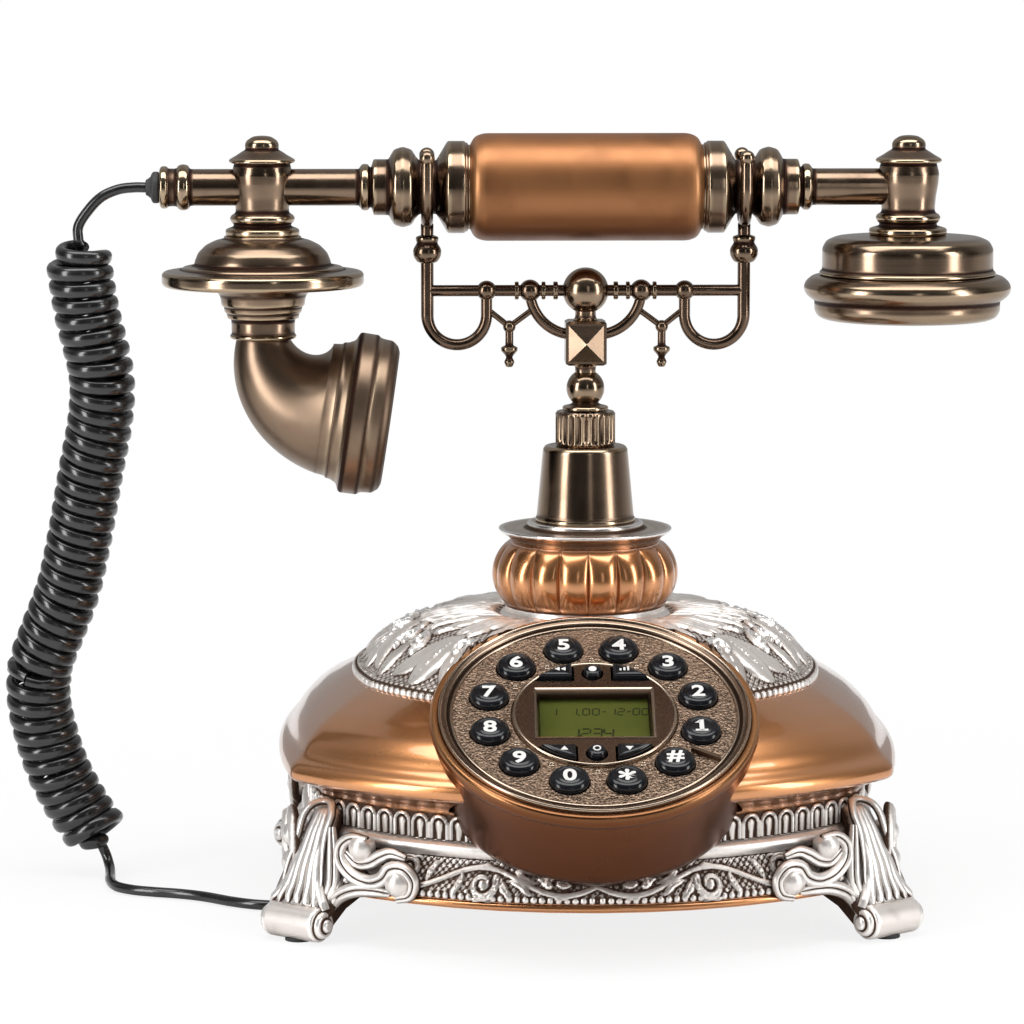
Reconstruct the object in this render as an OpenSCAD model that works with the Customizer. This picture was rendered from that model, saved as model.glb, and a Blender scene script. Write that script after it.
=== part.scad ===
// French-style cradle telephone. Millimetres, +Z up, the front faces -Y.
// The origin lies on the stem's axis at the level of the table.

/* [Base] */
// Height of the tray's underside above the table
tray_z = 14; // [12:0.5:20]
// Thickness of the copper bottom tray
tray_t = 2.5; // [2:0.1:4]
// Half the width between the corners of the rim
rim_half_w = 87.3; // [80:0.1:95]
// Half the depth between the corners of the rim
rim_half_d = 57; // [52:0.1:64]
// How far the front and the back bow out
bow_front = 40; // [34:0.5:41]
// How far the two sides bow out
bow_side = 5; // [2:0.5:8]
// Height of the scrolled apron
apron_h = 13.2; // [12.4:0.1:18]
// Height of the plain ridge above the apron
ridge_h = 1.9; // [1.2:0.1:3]
// Height of the arched frieze
frieze_h = 7.6; // [6:0.1:10]
// Height of the cove and rim of the copper dome
rim_h = 10.8; // [8:0.1:14]
// Rise of the copper dome above its rim
dome_h = 18.5; // [15:0.1:24]
// Height of the silver crown
crown_h = 17; // [14:0.1:22]
// Wall thickness of the castings
wall = 2.5; // [2:0.1:3.2]
// Height of the plain ring that carries the cushion
crown_ring_h = 2.5; // [1.5:0.1:4]
// Radius of the plain ring that carries the cushion
crown_ring_r = 24; // [23.4:0.1:25]

/* [Feet] */
// Distance of the leg's root inside the rim's corner along X
leg_in_x = 13.3; // [10:0.1:16]
// Distance of the leg's root inside the rim's corner along Y
leg_in_y = 7; // [4:0.1:10]
// Direction in which the leg leaves the body
leg_turn = 52; // [45:1:60]
// Width of a leg
leg_w = 22; // [18:0.5:26]
// Radius of the rolled toe
toe_r = 5; // [4:0.1:6]
// Length of the rolled toe
toe_len = 24; // [20:0.5:28]
// Radius of a foot's rubber pad
pad_r = 4; // [3:0.1:4.5]
// Height of a foot's rubber pad
pad_t = 1.2; // [0.8:0.1:2]

/* [Dial] */
// Slope of the dial's face from level
dial_slope = 28; // [24:1:32]
// Distance of the dial's centre in front of the stem
dial_y = 71.5; // [69:0.5:76]
// Height of the dial's centre above the table
dial_z = 66.7; // [65:0.1:72]
// Outer radius of the copper drum at its face
drum_r = 47.2; // [46.6:0.1:49]
// Depth of the straight part of the drum
drum_depth = 25; // [22:0.5:27]
// Width of the copper edge outside the bezel
bezel_edge = 2.4; // [1.8:0.1:3]
// Width of the metal bezel
bezel_w = 4.3; // [3.5:0.1:5]
// Height of the bezel above the plate
bezel_h = 1.8; // [1.2:0.1:3]
// Thickness of the dial plate
plate_t = 2; // [1.6:0.1:2.4]
// Radius of the circle of number keys, as a share of the drum's radius
key_ring_share = 0.659; // [0.65:0.001:0.668]
// Radius of a number key, as a share of the drum's radius
key_share = 0.1197; // [0.106:0.0001:0.125]
// Height of a number key above the plate
key_h = 2.6; // [1.8:0.1:3.5]
// Gap round a key in its hole
key_gap = 0.3; // [0.25:0.05:0.4]
// Travel of a key
key_travel = 1.5; // [1:0.1:1.6]
// Radius of the raised disc in the middle of the plate, as a share of the drum's radius
boss_share = 0.502; // [0.496:0.001:0.508]
// Height of the raised disc
boss_h = 0.8; // [0.4:0.1:1.2]
// Width of the display window
lcd_w = 33; // [28:0.5:34]
// Height of the display window
lcd_h = 22; // [18:0.5:22.5]

/* [Stem] */
// Height of the gadrooned cushion
cushion_h = 19.2; // [16:0.1:24]
// Largest radius of the cushion
cushion_r = 28; // [26:0.1:30]
// Radius of the cushion at its two ends
cushion_end_r = 22.7; // [21:0.1:23.3]
// Number of lobes round the cushion
lobes = 18; // [12:1:24]
// Height of the flared dish on the cushion
dish_h = 4.3; // [3:0.1:6]
// Radius of the dish's lip
dish_r = 26; // [24:0.1:28]
// Height of the plain flange under the cone
flange_h = 1.9; // [1.2:0.1:3]
// Radius of the plain flange under the cone
flange_r = 17.4; // [16:0.1:19]
// Height of the cone
cone_h = 22.8; // [18:0.1:28]
// Radius of the cone at its foot
cone_r = 15; // [14:0.1:15.5]
// Radius of the cone at its top
cone_top_r = 12.7; // [11:0.1:13.5]
// Height of the fluted collar
collar_h = 10.3; // [8:0.1:13]
// Radius of the fluted collar
collar_r = 9; // [8:0.1:10]
// Number of flutes round the collar
flutes = 24; // [16:1:28]
// Outer radius of the tube inside the stem
tube_r = 5; // [4.6:0.1:5.6]
// Radius of the plunger inside the tube
plunger_r = 3.1; // [2.6:0.1:3.4]

/* [Cradle] */
// Travel of the cradle on its spring
hook_travel = 4.5; // [3:0.1:6]
// Distance of the uprights outside the ends of the grip
seat_offset = 12.8; // [12.4:0.1:13.2]
// Radius of the cradle's rods
rod_r = 1.7; // [1.5:0.05:1.8]
// Radius of the uprights
upright_r = 1.9; // [1.7:0.05:2]
// Distance of the inner end of a loop from the stem
loop_x = 29.6; // [28:0.1:31]
// Height of the bar above the flange of the cradle
bar_rise = 35.9; // [34:0.1:40]
// Radius of the sphere in the middle of the bar
sphere_r = 6.9; // [6:0.1:7.5]
// Half the width of the faceted block
block_half = 6.1; // [5.5:0.1:6.8]
// Height of the faceted block
block_h = 13.2; // [12:0.1:14.5]
// Height of the handset's axis above the bar
seat_rise = 30.9; // [29:0.1:34]
// Length of the prongs above the handset's axis
prong_rise = 8; // [5:0.1:10]

/* [Handset] */
// Distance of the mouth and ear axes from the middle
tee_x = 96.3; // [94:0.1:99]
// Radius of the grip
grip_r = 16; // [15:0.1:17]
// Half the length of the grip
grip_half = 34.5; // [33:0.1:35.5]
// Radius of the collars beside the grip
end_collar_r = 13.5; // [12.6:0.1:14.5]
// Radius of the neck that lies in the cradle
neck_r = 8; // [7.6:0.1:8.4]
// Radius of the large bead beside the neck
bead_r = 12; // [11:0.1:13]
// Radius of the thin tubes that reach the ends
arm_r = 5.45; // [5:0.05:5.6]
// Radius of the mouth and ear barrels
barrel_r = 8.2; // [8:0.1:9]
// Radius of the disc over the horn
disc_r = 30.1; // [28:0.1:32]
// Radius of the dome on the disc
dome_r = 19.3; // [18:0.1:20.5]
// Radius of the horn where it begins
horn_r0 = 8; // [7.6:0.1:8.6]
// Radius of the horn where the bend ends
horn_r1 = 19.6; // [18:0.1:21]
// Largest radius of the horn's rim
horn_rim_r = 24.2; // [23:0.1:26]
// Radius of the horn's bend
horn_bend = 21.3; // [20.5:0.1:23]
// Angle through which the horn bends
horn_turn = 81.5; // [75:0.5:90]
// Wall thickness of the horn
horn_wall = 2.2; // [1.8:0.1:2.6]
// Radius of the ear shell
ear_r = 25.5; // [25:0.1:27]
// Largest radius of the ear cap
ear_rim_r = 31; // [30:0.1:32.5]
// Height of the ear shell
ear_h = 12; // [10:0.1:14]
// Radius of a sound hole
sound_r = 1.1; // [0.8:0.1:1.3]

/* [Cord] */
// Diameter of the cord
cord_d = 3.1; // [2.8:0.1:3.2]
// Outer radius of the coil
coil_r = 9.2; // [8:0.1:9.4]
// Number of turns in the coil
turns = 41; // [36:1:42]

/* [Hidden] */

bronze = [0.42, 0.34, 0.26];
copper = [0.76, 0.50, 0.32];
silver = [0.78, 0.74, 0.71];
black = [0.08, 0.08, 0.09];
steel = [0.62, 0.63, 0.65];

// Gap between a piece and the piece that it slides in or stands beside
slip = 0.3;
round_fn = 64;

// Levels of the base, from the tray up
apron_z = tray_z + tray_t;
ridge_z = apron_z + apron_h;
frieze_z = ridge_z + ridge_h;
shell_z = frieze_z + frieze_h;
rim_top = shell_z + rim_h;
crown_z = rim_top + dome_h;
crown_top = crown_z + crown_h;
cushion_z = crown_top + crown_ring_h;
dish_z = cushion_z + cushion_h;
flange_z = dish_z + dish_h;
cone_z = flange_z + flange_h;
collar_z = cone_z + cone_h;
collar_top = collar_z + collar_h;
cradle_z = collar_top + slip;
bar_z = cradle_z + bar_rise;
axis_z = bar_z + seat_rise;

// Insets of the base's tiers, measured inwards from the rim
tray_inset = 3;
apron_inset = 3;
ridge_inset = 7.4;
frieze_inset = 9.3;
dome_run = 22;
crown_inset = dome_run + 1.4;
bow_steps = 14;
side_steps = 6;

// ---- Outline of the base ----

// Radius of an arc from half its chord and its rise
function arc_radius(half, rise) = (half * half + rise * rise) / (2 * rise);

// Points along the front edge from left to right, without the last corner
function front_edge(w, d) =
  let (r = arc_radius(w, bow_front), reach = asin(min(1, w / r)))
  [for (i = [0 : bow_steps - 1])
    let (a = reach * (2 * i / bow_steps - 1))
    [r * sin(a), -d - bow_front + r - r * cos(a)]];

// Points along the right edge from front to back, without the last corner
function right_edge(w, d) =
  let (r = arc_radius(d, bow_side), reach = asin(min(1, d / r)))
  [for (i = [0 : side_steps - 1])
    let (a = reach * (2 * i / side_steps - 1))
    [w + bow_side - r + r * cos(a), r * sin(a)]];

// The bowed outline, drawn in by an inset
function plan(inset) =
  let (w = rim_half_w - inset, d = rim_half_d - inset,
    half = concat(front_edge(w, d), right_edge(w, d)))
  concat(half, [for (p = half) -p]);

// A ring of points at one height, from the bowed outline
function tier_ring(inset, z) = [for (p = plan(inset)) [p[0], p[1], z]];

// The same count of points on a circle
function round_ring(r, z) = [for (p = plan(frieze_inset)) [r * p[0] / norm(p), r * p[1] / norm(p), z]];

// A solid through closed rings of points; the last ring joins the first
module ring_skin(rings) {
  n = len(rings[0]);
  m = len(rings);
  polyhedron(
    points = [for (ring = rings) each ring],
    faces = [for (i = [0 : m - 1], j = [0 : n - 1])
      let (a = i * n + j, b = i * n + (j + 1) % n)
      let (c = ((i + 1) % m) * n + (j + 1) % n, d = ((i + 1) % m) * n + j)
      each [[a, d, b], [b, d, c]]],
    convexity = 8);
}

// A solid through rings of points, closed by a flat face at each end
module capped_skin(rings) {
  n = len(rings[0]);
  m = len(rings);
  polyhedron(
    points = [for (ring = rings) each ring],
    faces = concat(
      [for (i = [0 : m - 2], j = [0 : n - 1])
        let (a = i * n + j, b = i * n + (j + 1) % n)
        let (c = (i + 1) * n + (j + 1) % n, d = (i + 1) * n + j)
        each [[a, d, b], [b, d, c]]],
      [[for (j = [0 : n - 1]) j]],
      [[for (j = [n - 1 : -1 : 0]) (m - 1) * n + j]]),
    convexity = 8);
}

// A hollow tier of the base from a closed profile of [inset, height] points
module tier(profile) ring_skin([for (p = profile) tier_ring(p[0], p[1])]);

// A flat plate in the bowed outline
module plan_plate(inset, z, h) translate([0, 0, z]) linear_extrude(h) polygon(plan(inset));

// A turned piece about Z from [radius, height] points
module turned(points) rotate_extrude($fn = round_fn) polygon(points);

module tube(r, r_in, z0, z1) {
  translate([0, 0, z0])
    rotate_extrude($fn = round_fn)
      translate([r_in, 0])
        square([r - r_in, z1 - z0]);
}

module rod(r, z0, z1) translate([0, 0, z0]) cylinder(r = r, h = z1 - z0, $fn = 32);

// ---- Dial ----

// Places children in the dial's own axes: X right, Y up the slope, Z out of the face
module at_dial() translate([0, -dial_y, dial_z]) rotate([dial_slope, 0, 0]) children();

bezel_r = drum_r - bezel_edge;
plate_r = bezel_r - slip;
key_ring_r = key_ring_share * drum_r;
key_r = key_share * drum_r;
boss_r = boss_share * drum_r;
drum_floor = drum_depth + 7;
drum_taper = 3;
bezel_inner_r = bezel_r - bezel_w;
key_flange_r = key_r + 0.8;
key_flange_t = 0.8;
key_stem_z = -plate_t - slip - key_flange_t - 0.9;
board_top = key_stem_z - key_travel - 0.4;
board_t = 1.6;
ledge_t = 2;

// The room that the drum takes out of the body, open above its face
module drum_cut() {
  at_dial()
    turned([
      [0, drum_depth], [drum_r + slip, drum_depth], [drum_r + slip, -3],
      [drum_r - drum_taper + slip, -drum_depth], [drum_r - drum_taper - 3 + slip, -drum_depth - 4],
      [drum_r - drum_taper - 9, -drum_floor - slip], [0, -drum_floor - slip]]);
}

module dial_drum() {
  color(copper)
    at_dial()
      turned([
        [bezel_r, 0.6], [drum_r - 0.8, 0.6], [drum_r, -0.2], [drum_r, -3],
        [drum_r - drum_taper, -drum_depth], [drum_r - drum_taper - 3, -drum_depth - 4],
        [drum_r - drum_taper - 9, -drum_floor], [0, -drum_floor], [0, -drum_floor + wall],
        [drum_r - drum_taper - 10, -drum_floor + wall], [drum_r - drum_taper - wall - 2, -drum_depth],
        [plate_r - ledge_t, -plate_t - ledge_t], [plate_r - ledge_t, -plate_t], [bezel_r, -plate_t]]);
}

module dial_bezel() {
  color(bronze)
    at_dial()
      turned([
        [bezel_inner_r, 0], [bezel_inner_r, bezel_h * 0.5], [bezel_inner_r + 0.6, bezel_h * 0.9],
        [bezel_inner_r + 1.2, bezel_h * 0.7], [bezel_r - 1.2, bezel_h * 0.8],
        [bezel_r - 0.6, bezel_h], [bezel_r - slip, bezel_h * 0.6], [bezel_r - slip, 0]]);
}

// Half-height of the display's frame, which bounds the function keys
wedge_v = lcd_h / 2 + 4.4;
wedge_u = 5.6;
wedge_r = boss_r - 1.1;
oval_v = wedge_v + 3.1;
oval_r = 2.9;

// Outline of a wedge-shaped function key on the right above the display
module wedge_outline(grow) {
  intersection() {
    circle(r = wedge_r + grow, $fn = round_fn);
    translate([wedge_u - grow, wedge_v - grow]) square([wedge_r, wedge_r]);
  }
}

module oval_outline(grow) translate([0, oval_v]) circle(r = oval_r + grow, $fn = 32);

// Angles of the number keys: 1 lies just below the right, and the rest follow anticlockwise
function key_angle(i) = -15 + 30 * i;

// The function keys as [shape, side along X, side along Y]
function_keys = [["wedge", -1, 1], ["oval", 1, 1], ["wedge", 1, 1], ["wedge", -1, -1], ["oval", 1, -1], ["wedge", 1, -1]];

module function_outline(i, grow) {
  k = function_keys[i];
  scale_x = k[1];
  mirror([scale_x < 0 ? 1 : 0, 0])
    mirror([0, k[2] < 0 ? 1 : 0])
      if (k[0] == "wedge") wedge_outline(grow);
      else oval_outline(grow);
}

module dial_plate() {
  color([0.47, 0.38, 0.31])
    at_dial()
      difference() {
        union() {
          translate([0, 0, -plate_t]) cylinder(r = plate_r, h = plate_t, $fn = round_fn);
          cylinder(r = boss_r, h = boss_h, $fn = round_fn);
        }
        for (i = [0 : 11])
          rotate(key_angle(i))
            translate([key_ring_r, 0, -plate_t - 1])
              cylinder(r = key_r + key_gap, h = plate_t + 2, $fn = 32);
        for (i = [0 : 5])
          translate([0, 0, -plate_t - 1])
            linear_extrude(plate_t + boss_h + 2)
              function_outline(i, key_gap);
        translate([-lcd_w / 2, -lcd_h / 2, -plate_t - 1]) cube([lcd_w, lcd_h, plate_t + boss_h + 2]);
      }
}

// A blade across the ring of keys, between the first and the last
module finger_stop() {
  color(steel)
    at_dial()
      rotate(-31)
        difference() {
          translate([key_ring_r + 0.4, -0.6, 0]) cube([bezel_inner_r - key_ring_r - 0.5, 1.2, 1.4]);
          for (a = [-14, 16])
            rotate(a)
              translate([key_ring_r, 0, -1])
                cylinder(r = key_r + 2 * key_gap, h = key_h + 2, $fn = 32);
        }
}

lens_t = 1;
module lcd_lens() {
  color([0.45, 0.48, 0.22, 0.6])
    at_dial()
      translate([-lcd_w / 2 - 1, -lcd_h / 2 - 1, -plate_t - lens_t])
        cube([lcd_w + 2, lcd_h + 2, lens_t]);
}

module lcd_module() {
  color([0.36, 0.38, 0.18])
    at_dial()
      translate([-lcd_w / 2 - 1.5, -lcd_h / 2 - 1.5, board_top])
        cube([lcd_w + 3, lcd_h + 3, -plate_t - lens_t - board_top]);
}

module key_board() {
  color([0.1, 0.35, 0.18])
    at_dial()
      translate([0, 0, board_top - board_t])
        cylinder(r = plate_r - ledge_t - 1.8, h = board_t, $fn = round_fn);
}

// A domed number key with a flange under the plate
module number_key(i) {
  color(black)
    at_dial()
      rotate(key_angle(i))
        translate([key_ring_r, 0, 0])
          turned([
            [0, key_stem_z], [key_r - 2, key_stem_z], [key_r - 2, -plate_t - slip - key_flange_t],
            [key_flange_r, -plate_t - slip - key_flange_t], [key_flange_r, -plate_t - slip],
            [key_r, -plate_t - slip], [key_r, key_h * 0.5], [key_r - 0.35, key_h * 0.75],
            [key_r - 1.3, key_h * 0.95], [key_r - 2.6, key_h], [0, key_h]]);
}

// A small function key with a flange under the plate
module function_key(i) {
  color(black)
    at_dial() {
      translate([0, 0, -plate_t - slip]) linear_extrude(plate_t + slip + boss_h + 1.8) function_outline(i, 0);
      translate([0, 0, -plate_t - slip - key_flange_t])
        linear_extrude(key_flange_t)
          intersection() {
            function_outline(i, 0.8);
            circle(r = wedge_r + 0.6, $fn = round_fn);
          }
    }
}

module key_1() number_key(0);
module key_2() number_key(1);
module key_3() number_key(2);
module key_4() number_key(3);
module key_5() number_key(4);
module key_6() number_key(5);
module key_7() number_key(6);
module key_8() number_key(7);
module key_9() number_key(8);
module key_0() number_key(9);
module key_star() number_key(10);
module key_hash() number_key(11);
module key_redial() function_key(0);
module key_set() function_key(1);
module key_speaker() function_key(2);
module key_up() function_key(3);
module key_out() function_key(4);
module key_down() function_key(5);

// ---- Base ----

leg_x = rim_half_w - leg_in_x;
leg_y = rim_half_d - leg_in_y;
screw_x = leg_x - 6;
screw_y = leg_y - 12;
screw_r = 1.6;
screw_head_r = 3.4;
screw_head_t = 1.6;
boss_post_r = 4;
// Length of the rib that ties a screw post to the apron's side wall
post_rib = rim_half_w - ridge_inset + 1.6 - screw_x;
grommet_x = -leg_x - 1.5;
grommet_y = -24;
grommet_r = 3;
jack_w = 15;
jack_h = apron_h - 1.4;
jack_depth = 13;
jack_back = rim_half_d + bow_front - apron_inset - 1.2;
ringer_r = 19;
ringer_x = -42;
ringer_y = 22;

module each_corner() for (sx = [-1, 1], sy = [-1, 1]) translate([sx * screw_x, sy * screw_y, 0]) children();

module base_tray() {
  color(copper)
    difference() {
      plan_plate(tray_inset, tray_z, tray_t);
      each_corner() rod(screw_r + 0.2, tray_z - 1, apron_z + 1);
      translate([grommet_x, grommet_y, 0]) rod(grommet_r + 0.2, tray_z - 1, apron_z + 1);
      for (i = [-3 : 3])
        translate([ringer_x + 4 * i - 0.8, ringer_y - 9, tray_z - 1]) cube([1.6, 18, tray_t + 2]);
    }
}

// The outer side of the apron and frieze as [inset, height] points
apron_outer = [
  [apron_inset, apron_z], [apron_inset, apron_z + 1.6], [apron_inset + 2.2, apron_z + 4.4],
  [ridge_inset + 0.6, ridge_z - 2.4], [ridge_inset + 0.6, ridge_z], [ridge_inset - 0.4, ridge_z + ridge_h * 0.5],
  [ridge_inset + 0.6, frieze_z], [frieze_inset, frieze_z], [frieze_inset, shell_z]];

module apron() {
  color(silver)
    difference() {
      union() {
        tier(concat(apron_outer, [
          [frieze_inset + wall, shell_z], [frieze_inset + wall, ridge_z], [apron_inset + wall + 1.6, apron_z]]));
        for (sx = [-1, 1], sy = [-1, 1])
          translate([sx * screw_x, sy * screw_y, 0]) {
            tube(boss_post_r, screw_r, apron_z, frieze_z);
            translate([sx > 0 ? screw_r + 1 : -post_rib, -1, apron_z]) cube([post_rib - screw_r - 1, 2, apron_h - 3]);
          }
      }
      drum_cut();
      translate([-jack_w / 2 - slip, jack_back - jack_depth, apron_z - 1])
        cube([jack_w + 2 * slip, jack_depth + 5, jack_h + 1 + slip]);
    }
}

// The outer side of the copper shell as [inset, height] points
shell_outer = [
  [frieze_inset, shell_z], [frieze_inset - 1.2, shell_z + rim_h * 0.18], [frieze_inset - 5, shell_z + rim_h * 0.42],
  [1, shell_z + rim_h * 0.52], [0, shell_z + rim_h * 0.62], [0, shell_z + rim_h * 0.84],
  [1, rim_top], [dome_run * 0.15, rim_top + dome_h * 0.1], [dome_run * 0.24, rim_top + dome_h * 0.32],
  [dome_run * 0.38, rim_top + dome_h * 0.52], [dome_run * 0.58, rim_top + dome_h * 0.71],
  [dome_run * 0.85, rim_top + dome_h * 0.9], [dome_run, crown_z]];

// Its inner side, from the top down
shell_inner = [
  [dome_run + 3.6, crown_z], [dome_run * 0.85 + 1.6, rim_top + dome_h * 0.9 - wall],
  [dome_run * 0.58 + wall, rim_top + dome_h * 0.71 - wall], [dome_run * 0.38 + wall, rim_top + dome_h * 0.4 - 1],
  [5, rim_top - 3], [frieze_inset + wall, shell_z + 2], [frieze_inset + wall, shell_z]];

module body_shell() {
  color(copper)
    difference() {
      tier(concat(shell_outer, shell_inner));
      drum_cut();
    }
}

// The crown's outer side as [inset, height] points
crown_run = 21;
crown_outer = [
  [crown_inset, crown_z], [crown_inset - 1.2, crown_z + 1.2], [crown_inset, crown_z + 2.4],
  [crown_inset + crown_run * 0.12, crown_z + crown_h * 0.19], [crown_inset + crown_run * 0.3, crown_z + crown_h * 0.42],
  [crown_inset + crown_run * 0.52, crown_z + crown_h * 0.64], [crown_inset + crown_run * 0.74, crown_z + crown_h * 0.81],
  [crown_inset + crown_run, crown_z + crown_h * 0.93]];
crown_inner = [
  [crown_inset + crown_run * 0.74 + 1.6, crown_z + crown_h * 0.81 - wall],
  [crown_inset + crown_run * 0.52 + 1.8, crown_z + crown_h * 0.64 - wall],
  [crown_inset + crown_run * 0.3 + 2, crown_z + crown_h * 0.42 - wall], [crown_inset + wall, crown_z]];

module crown() {
  color(silver)
    difference() {
      ring_skin(concat(
        [for (p = crown_outer) tier_ring(p[0], p[1])],
        [round_ring(crown_ring_r, crown_top), round_ring(crown_ring_r, cushion_z)],
        [round_ring(tube_r + slip, cushion_z), round_ring(tube_r + slip, crown_top - wall)],
        [round_ring(crown_ring_r, crown_top - wall)],
        [for (p = crown_inner) tier_ring(p[0], p[1])]));
      drum_cut();
    }
}

module cord_grommet() {
  color(black)
    translate([grommet_x, grommet_y, 0]) {
      tube(grommet_r + 1.2, cord_d / 2 + slip, tray_z - 1.5, tray_z);
      tube(grommet_r, cord_d / 2 + slip, tray_z, apron_z + 1);
    }
}

module base_screws() {
  color(steel)
    each_corner() {
      rod(screw_head_r, tray_z - screw_head_t, tray_z);
      rod(screw_r - 0.05, tray_z, ridge_z);
    }
}

// ---- Feet ----

toe_reach = 19;
toe_z = toe_r + pad_t - 0.6;
leg_top = shell_z - 1;

// Stations down the leg as [reach, height, width, thickness, lean from upright]
leg_stations = [
  [1, leg_top, 7, 4, 70], [3.6, leg_top - 1.4, 11, 5.4, 45], [6.6, leg_top - 5.6, 14.5, 6.6, 28],
  [9, leg_top - 11, 18, 7.6, 20], [11.2, leg_top - 17, 20.5, 8.4, 14], [12.8, leg_top - 23, leg_w, 8.4, 16],
  [15.2, toe_z + 4.4, leg_w, 7.6, 30], [toe_reach - 1, toe_z, leg_w, 6.4, 50]];

// A rounded section of the leg across its own direction
section_steps = 16;
function soft(c) = sign(c) * pow(abs(c), 0.6);
function leg_ring(s) =
  [for (k = [0 : section_steps - 1])
    let (b = 360 * k / section_steps, across = s[3] / 2 * soft(cos(b)))
    [s[0] + across * cos(s[4]), -s[2] / 2 * soft(sin(b)), s[1] + across * sin(s[4])]];

// The hollow-backed web that joins the leg to the tray, as [reach, height] points
web_profile = [
  [-8, tray_z - slip], [toe_reach - 7, tray_z - slip], [toe_reach - 2, toe_z + 3], [toe_reach, pad_t],
  [toe_reach - 4, pad_t], [6, tray_z - 6], [-6, tray_z - 2]];

// A limb with round sections at stations of [x, y, z, radius]
limb_sides = 8;
module limb(stations) {
  n = len(stations);
  capped_skin([for (i = [0 : n - 1])
    let (s = stations[i], d = stations[min(n - 1, i + 1)] - stations[max(0, i - 1)])
    let (t = unit([d[0], d[1], d[2]]), side = unit(cross(t, [0, 0, 1])), up = cross(side, t))
    [for (k = [0 : limb_sides - 1])
      let (b = 360 * k / limb_sides) [s[0], s[1], s[2]] + s[3] * (cos(b) * side - sin(b) * up)]]);
}

module leg_body() {
  capped_skin([for (s = leg_stations) leg_ring(s)]);
  rotate([90, 0, 0])
    translate([0, 0, -leg_w / 2 + 3])
      linear_extrude(leg_w - 6)
        polygon(web_profile);
  difference() {
    for (roll = [[toe_r, toe_len / 2 - 3], [toe_r - 1.2, toe_len / 2 - 1], [toe_r - 3, toe_len / 2]])
      translate([toe_reach, roll[1], toe_z]) rotate([90, 0, 0]) cylinder(r = roll[0], h = 2 * roll[1], $fn = 40);
    translate([toe_reach - 10, -toe_len, -5]) cube([20, 2 * toe_len, 5 + pad_t]);
  }
}

// Places on the bowed outline: on the front at a distance along X, on the side at a distance along Y
function front_at(inset, x) =
  let (r = arc_radius(rim_half_w - inset, bow_front))
  -(rim_half_d - inset) - bow_front + r - sqrt(r * r - x * x);
function side_at(inset, y) =
  let (r = arc_radius(rim_half_d - inset, bow_side))
  rim_half_w - inset + bow_side - r + sqrt(r * r - y * y);

// The scrolled flanks that run from the leg along the apron, as [place from the leg, height, radius] points
front_scroll = [[6, 11.5, 4.4], [0, 8.9, 4.2], [-7, 6.7, 3.4], [-14, 4.9, 3]];
front_volute = [[4, 18, 2.6], [-1, 14.9, 2.8], [-6, 14.5, 2.4]];
side_scroll = [[0, 8.5, 4.2], [-5, 10.5, 3.6], [-10, 10.9, 3]];
scroll_r = 4.6;
volute_r = 3.4;

// Points along an edge of the apron for a limb, on the front or on the side
function front_points(scroll, inset, out) =
  [for (p = scroll) [leg_x + p[0], front_at(inset, leg_x + p[0]) + out, p[1] + apron_z, p[2]]];
function side_points(scroll, inset, out) =
  [for (p = scroll) [side_at(inset, leg_y + p[0]) + out, -leg_y - p[0], p[1] + apron_z, p[2]]];

module curl(place, r) translate(place) sphere(r = r, $fn = 24);

module flanks() {
  limb(front_points(front_scroll, apron_inset, 1));
  curl([leg_x - 17, front_at(apron_inset, leg_x - 17), apron_z + scroll_r], scroll_r);
  limb(front_points(front_volute, ridge_inset, 1));
  curl([leg_x - 8, front_at(ridge_inset, leg_x - 8) + 0.6, ridge_z + 1.6], volute_r);
  limb(side_points(side_scroll, apron_inset, -0.6));
  curl([side_at(apron_inset, leg_y - 13) + 1, 13 - leg_y, apron_z + 9.6], scroll_r - 0.4);
}

// Steps that hold the base with half the slip gap to spare, which the feet are cut back to, as [inset, low, high]
envelope_bands = [
  [apron_inset, tray_z - slip / 2, apron_z + 3], [apron_inset + 1.1, apron_z + 3, apron_z + 6.5],
  [ridge_inset - 1.4, apron_z + 6.5, ridge_z - 2.7], [ridge_inset - 0.4, ridge_z - 2.7, frieze_z + slip / 2],
  [frieze_inset, frieze_z + slip / 2, shell_z], [-2, shell_z - slip / 2, shell_z + 5]];

module base_envelope() for (e = envelope_bands) plan_plate(e[0] - slip / 2, e[1], e[2] - e[1]);

// A foot on the chosen side, cut back to the base and clear of its screw
module foot(sx, sy) {
  difference() {
    union() {
      translate([sx * leg_x, sy * leg_y, 0]) rotate(atan2(sy * sin(leg_turn), sx * cos(leg_turn))) leg_body();
      mirror([sx > 0 ? 0 : 1, 0, 0]) mirror([0, sy < 0 ? 0 : 1, 0]) flanks();
    }
    base_envelope();
    translate([sx * screw_x, sy * screw_y, 0]) rod(screw_head_r + slip, tray_z - 12, tray_z);
  }
}

module feet_front() color(silver) for (sx = [1, -1]) foot(sx, -1);
module feet_rear() color(silver) for (sx = [1, -1]) foot(sx, 1);

module foot_pads() {
  color(black)
    for (sx = [0, 1], sy = [0, 1])
      mirror([sx, 0, 0])
        mirror([0, sy, 0])
          translate([leg_x, -leg_y, 0])
            rotate(-leg_turn)
              translate([toe_reach - 1, 0, 0])
                rod(pad_r, 0, pad_t);
}

// ---- Inside the base ----

post_r = 2.5;
post_in = 5;
board_left = -20;
board_front = 30;
board_w = 70;
board_d = 62;
board_z = apron_z + 5.5;
cup_r = 6.5;
cup_t = 1.4;
spring_z = board_z + board_t + cup_t;
spring_low_h = 23;
plunger_foot_z = spring_z + spring_low_h;
plunger_foot_r = 9;
// Top of the collar that stops the plunger under the stem's tube
stop_z = crown_z - slip - hook_travel;
spring_r = 4;
spring_wire = 0.7;
spring_turns = 6;
switch_x = 7;
switch_w = 6;

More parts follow.
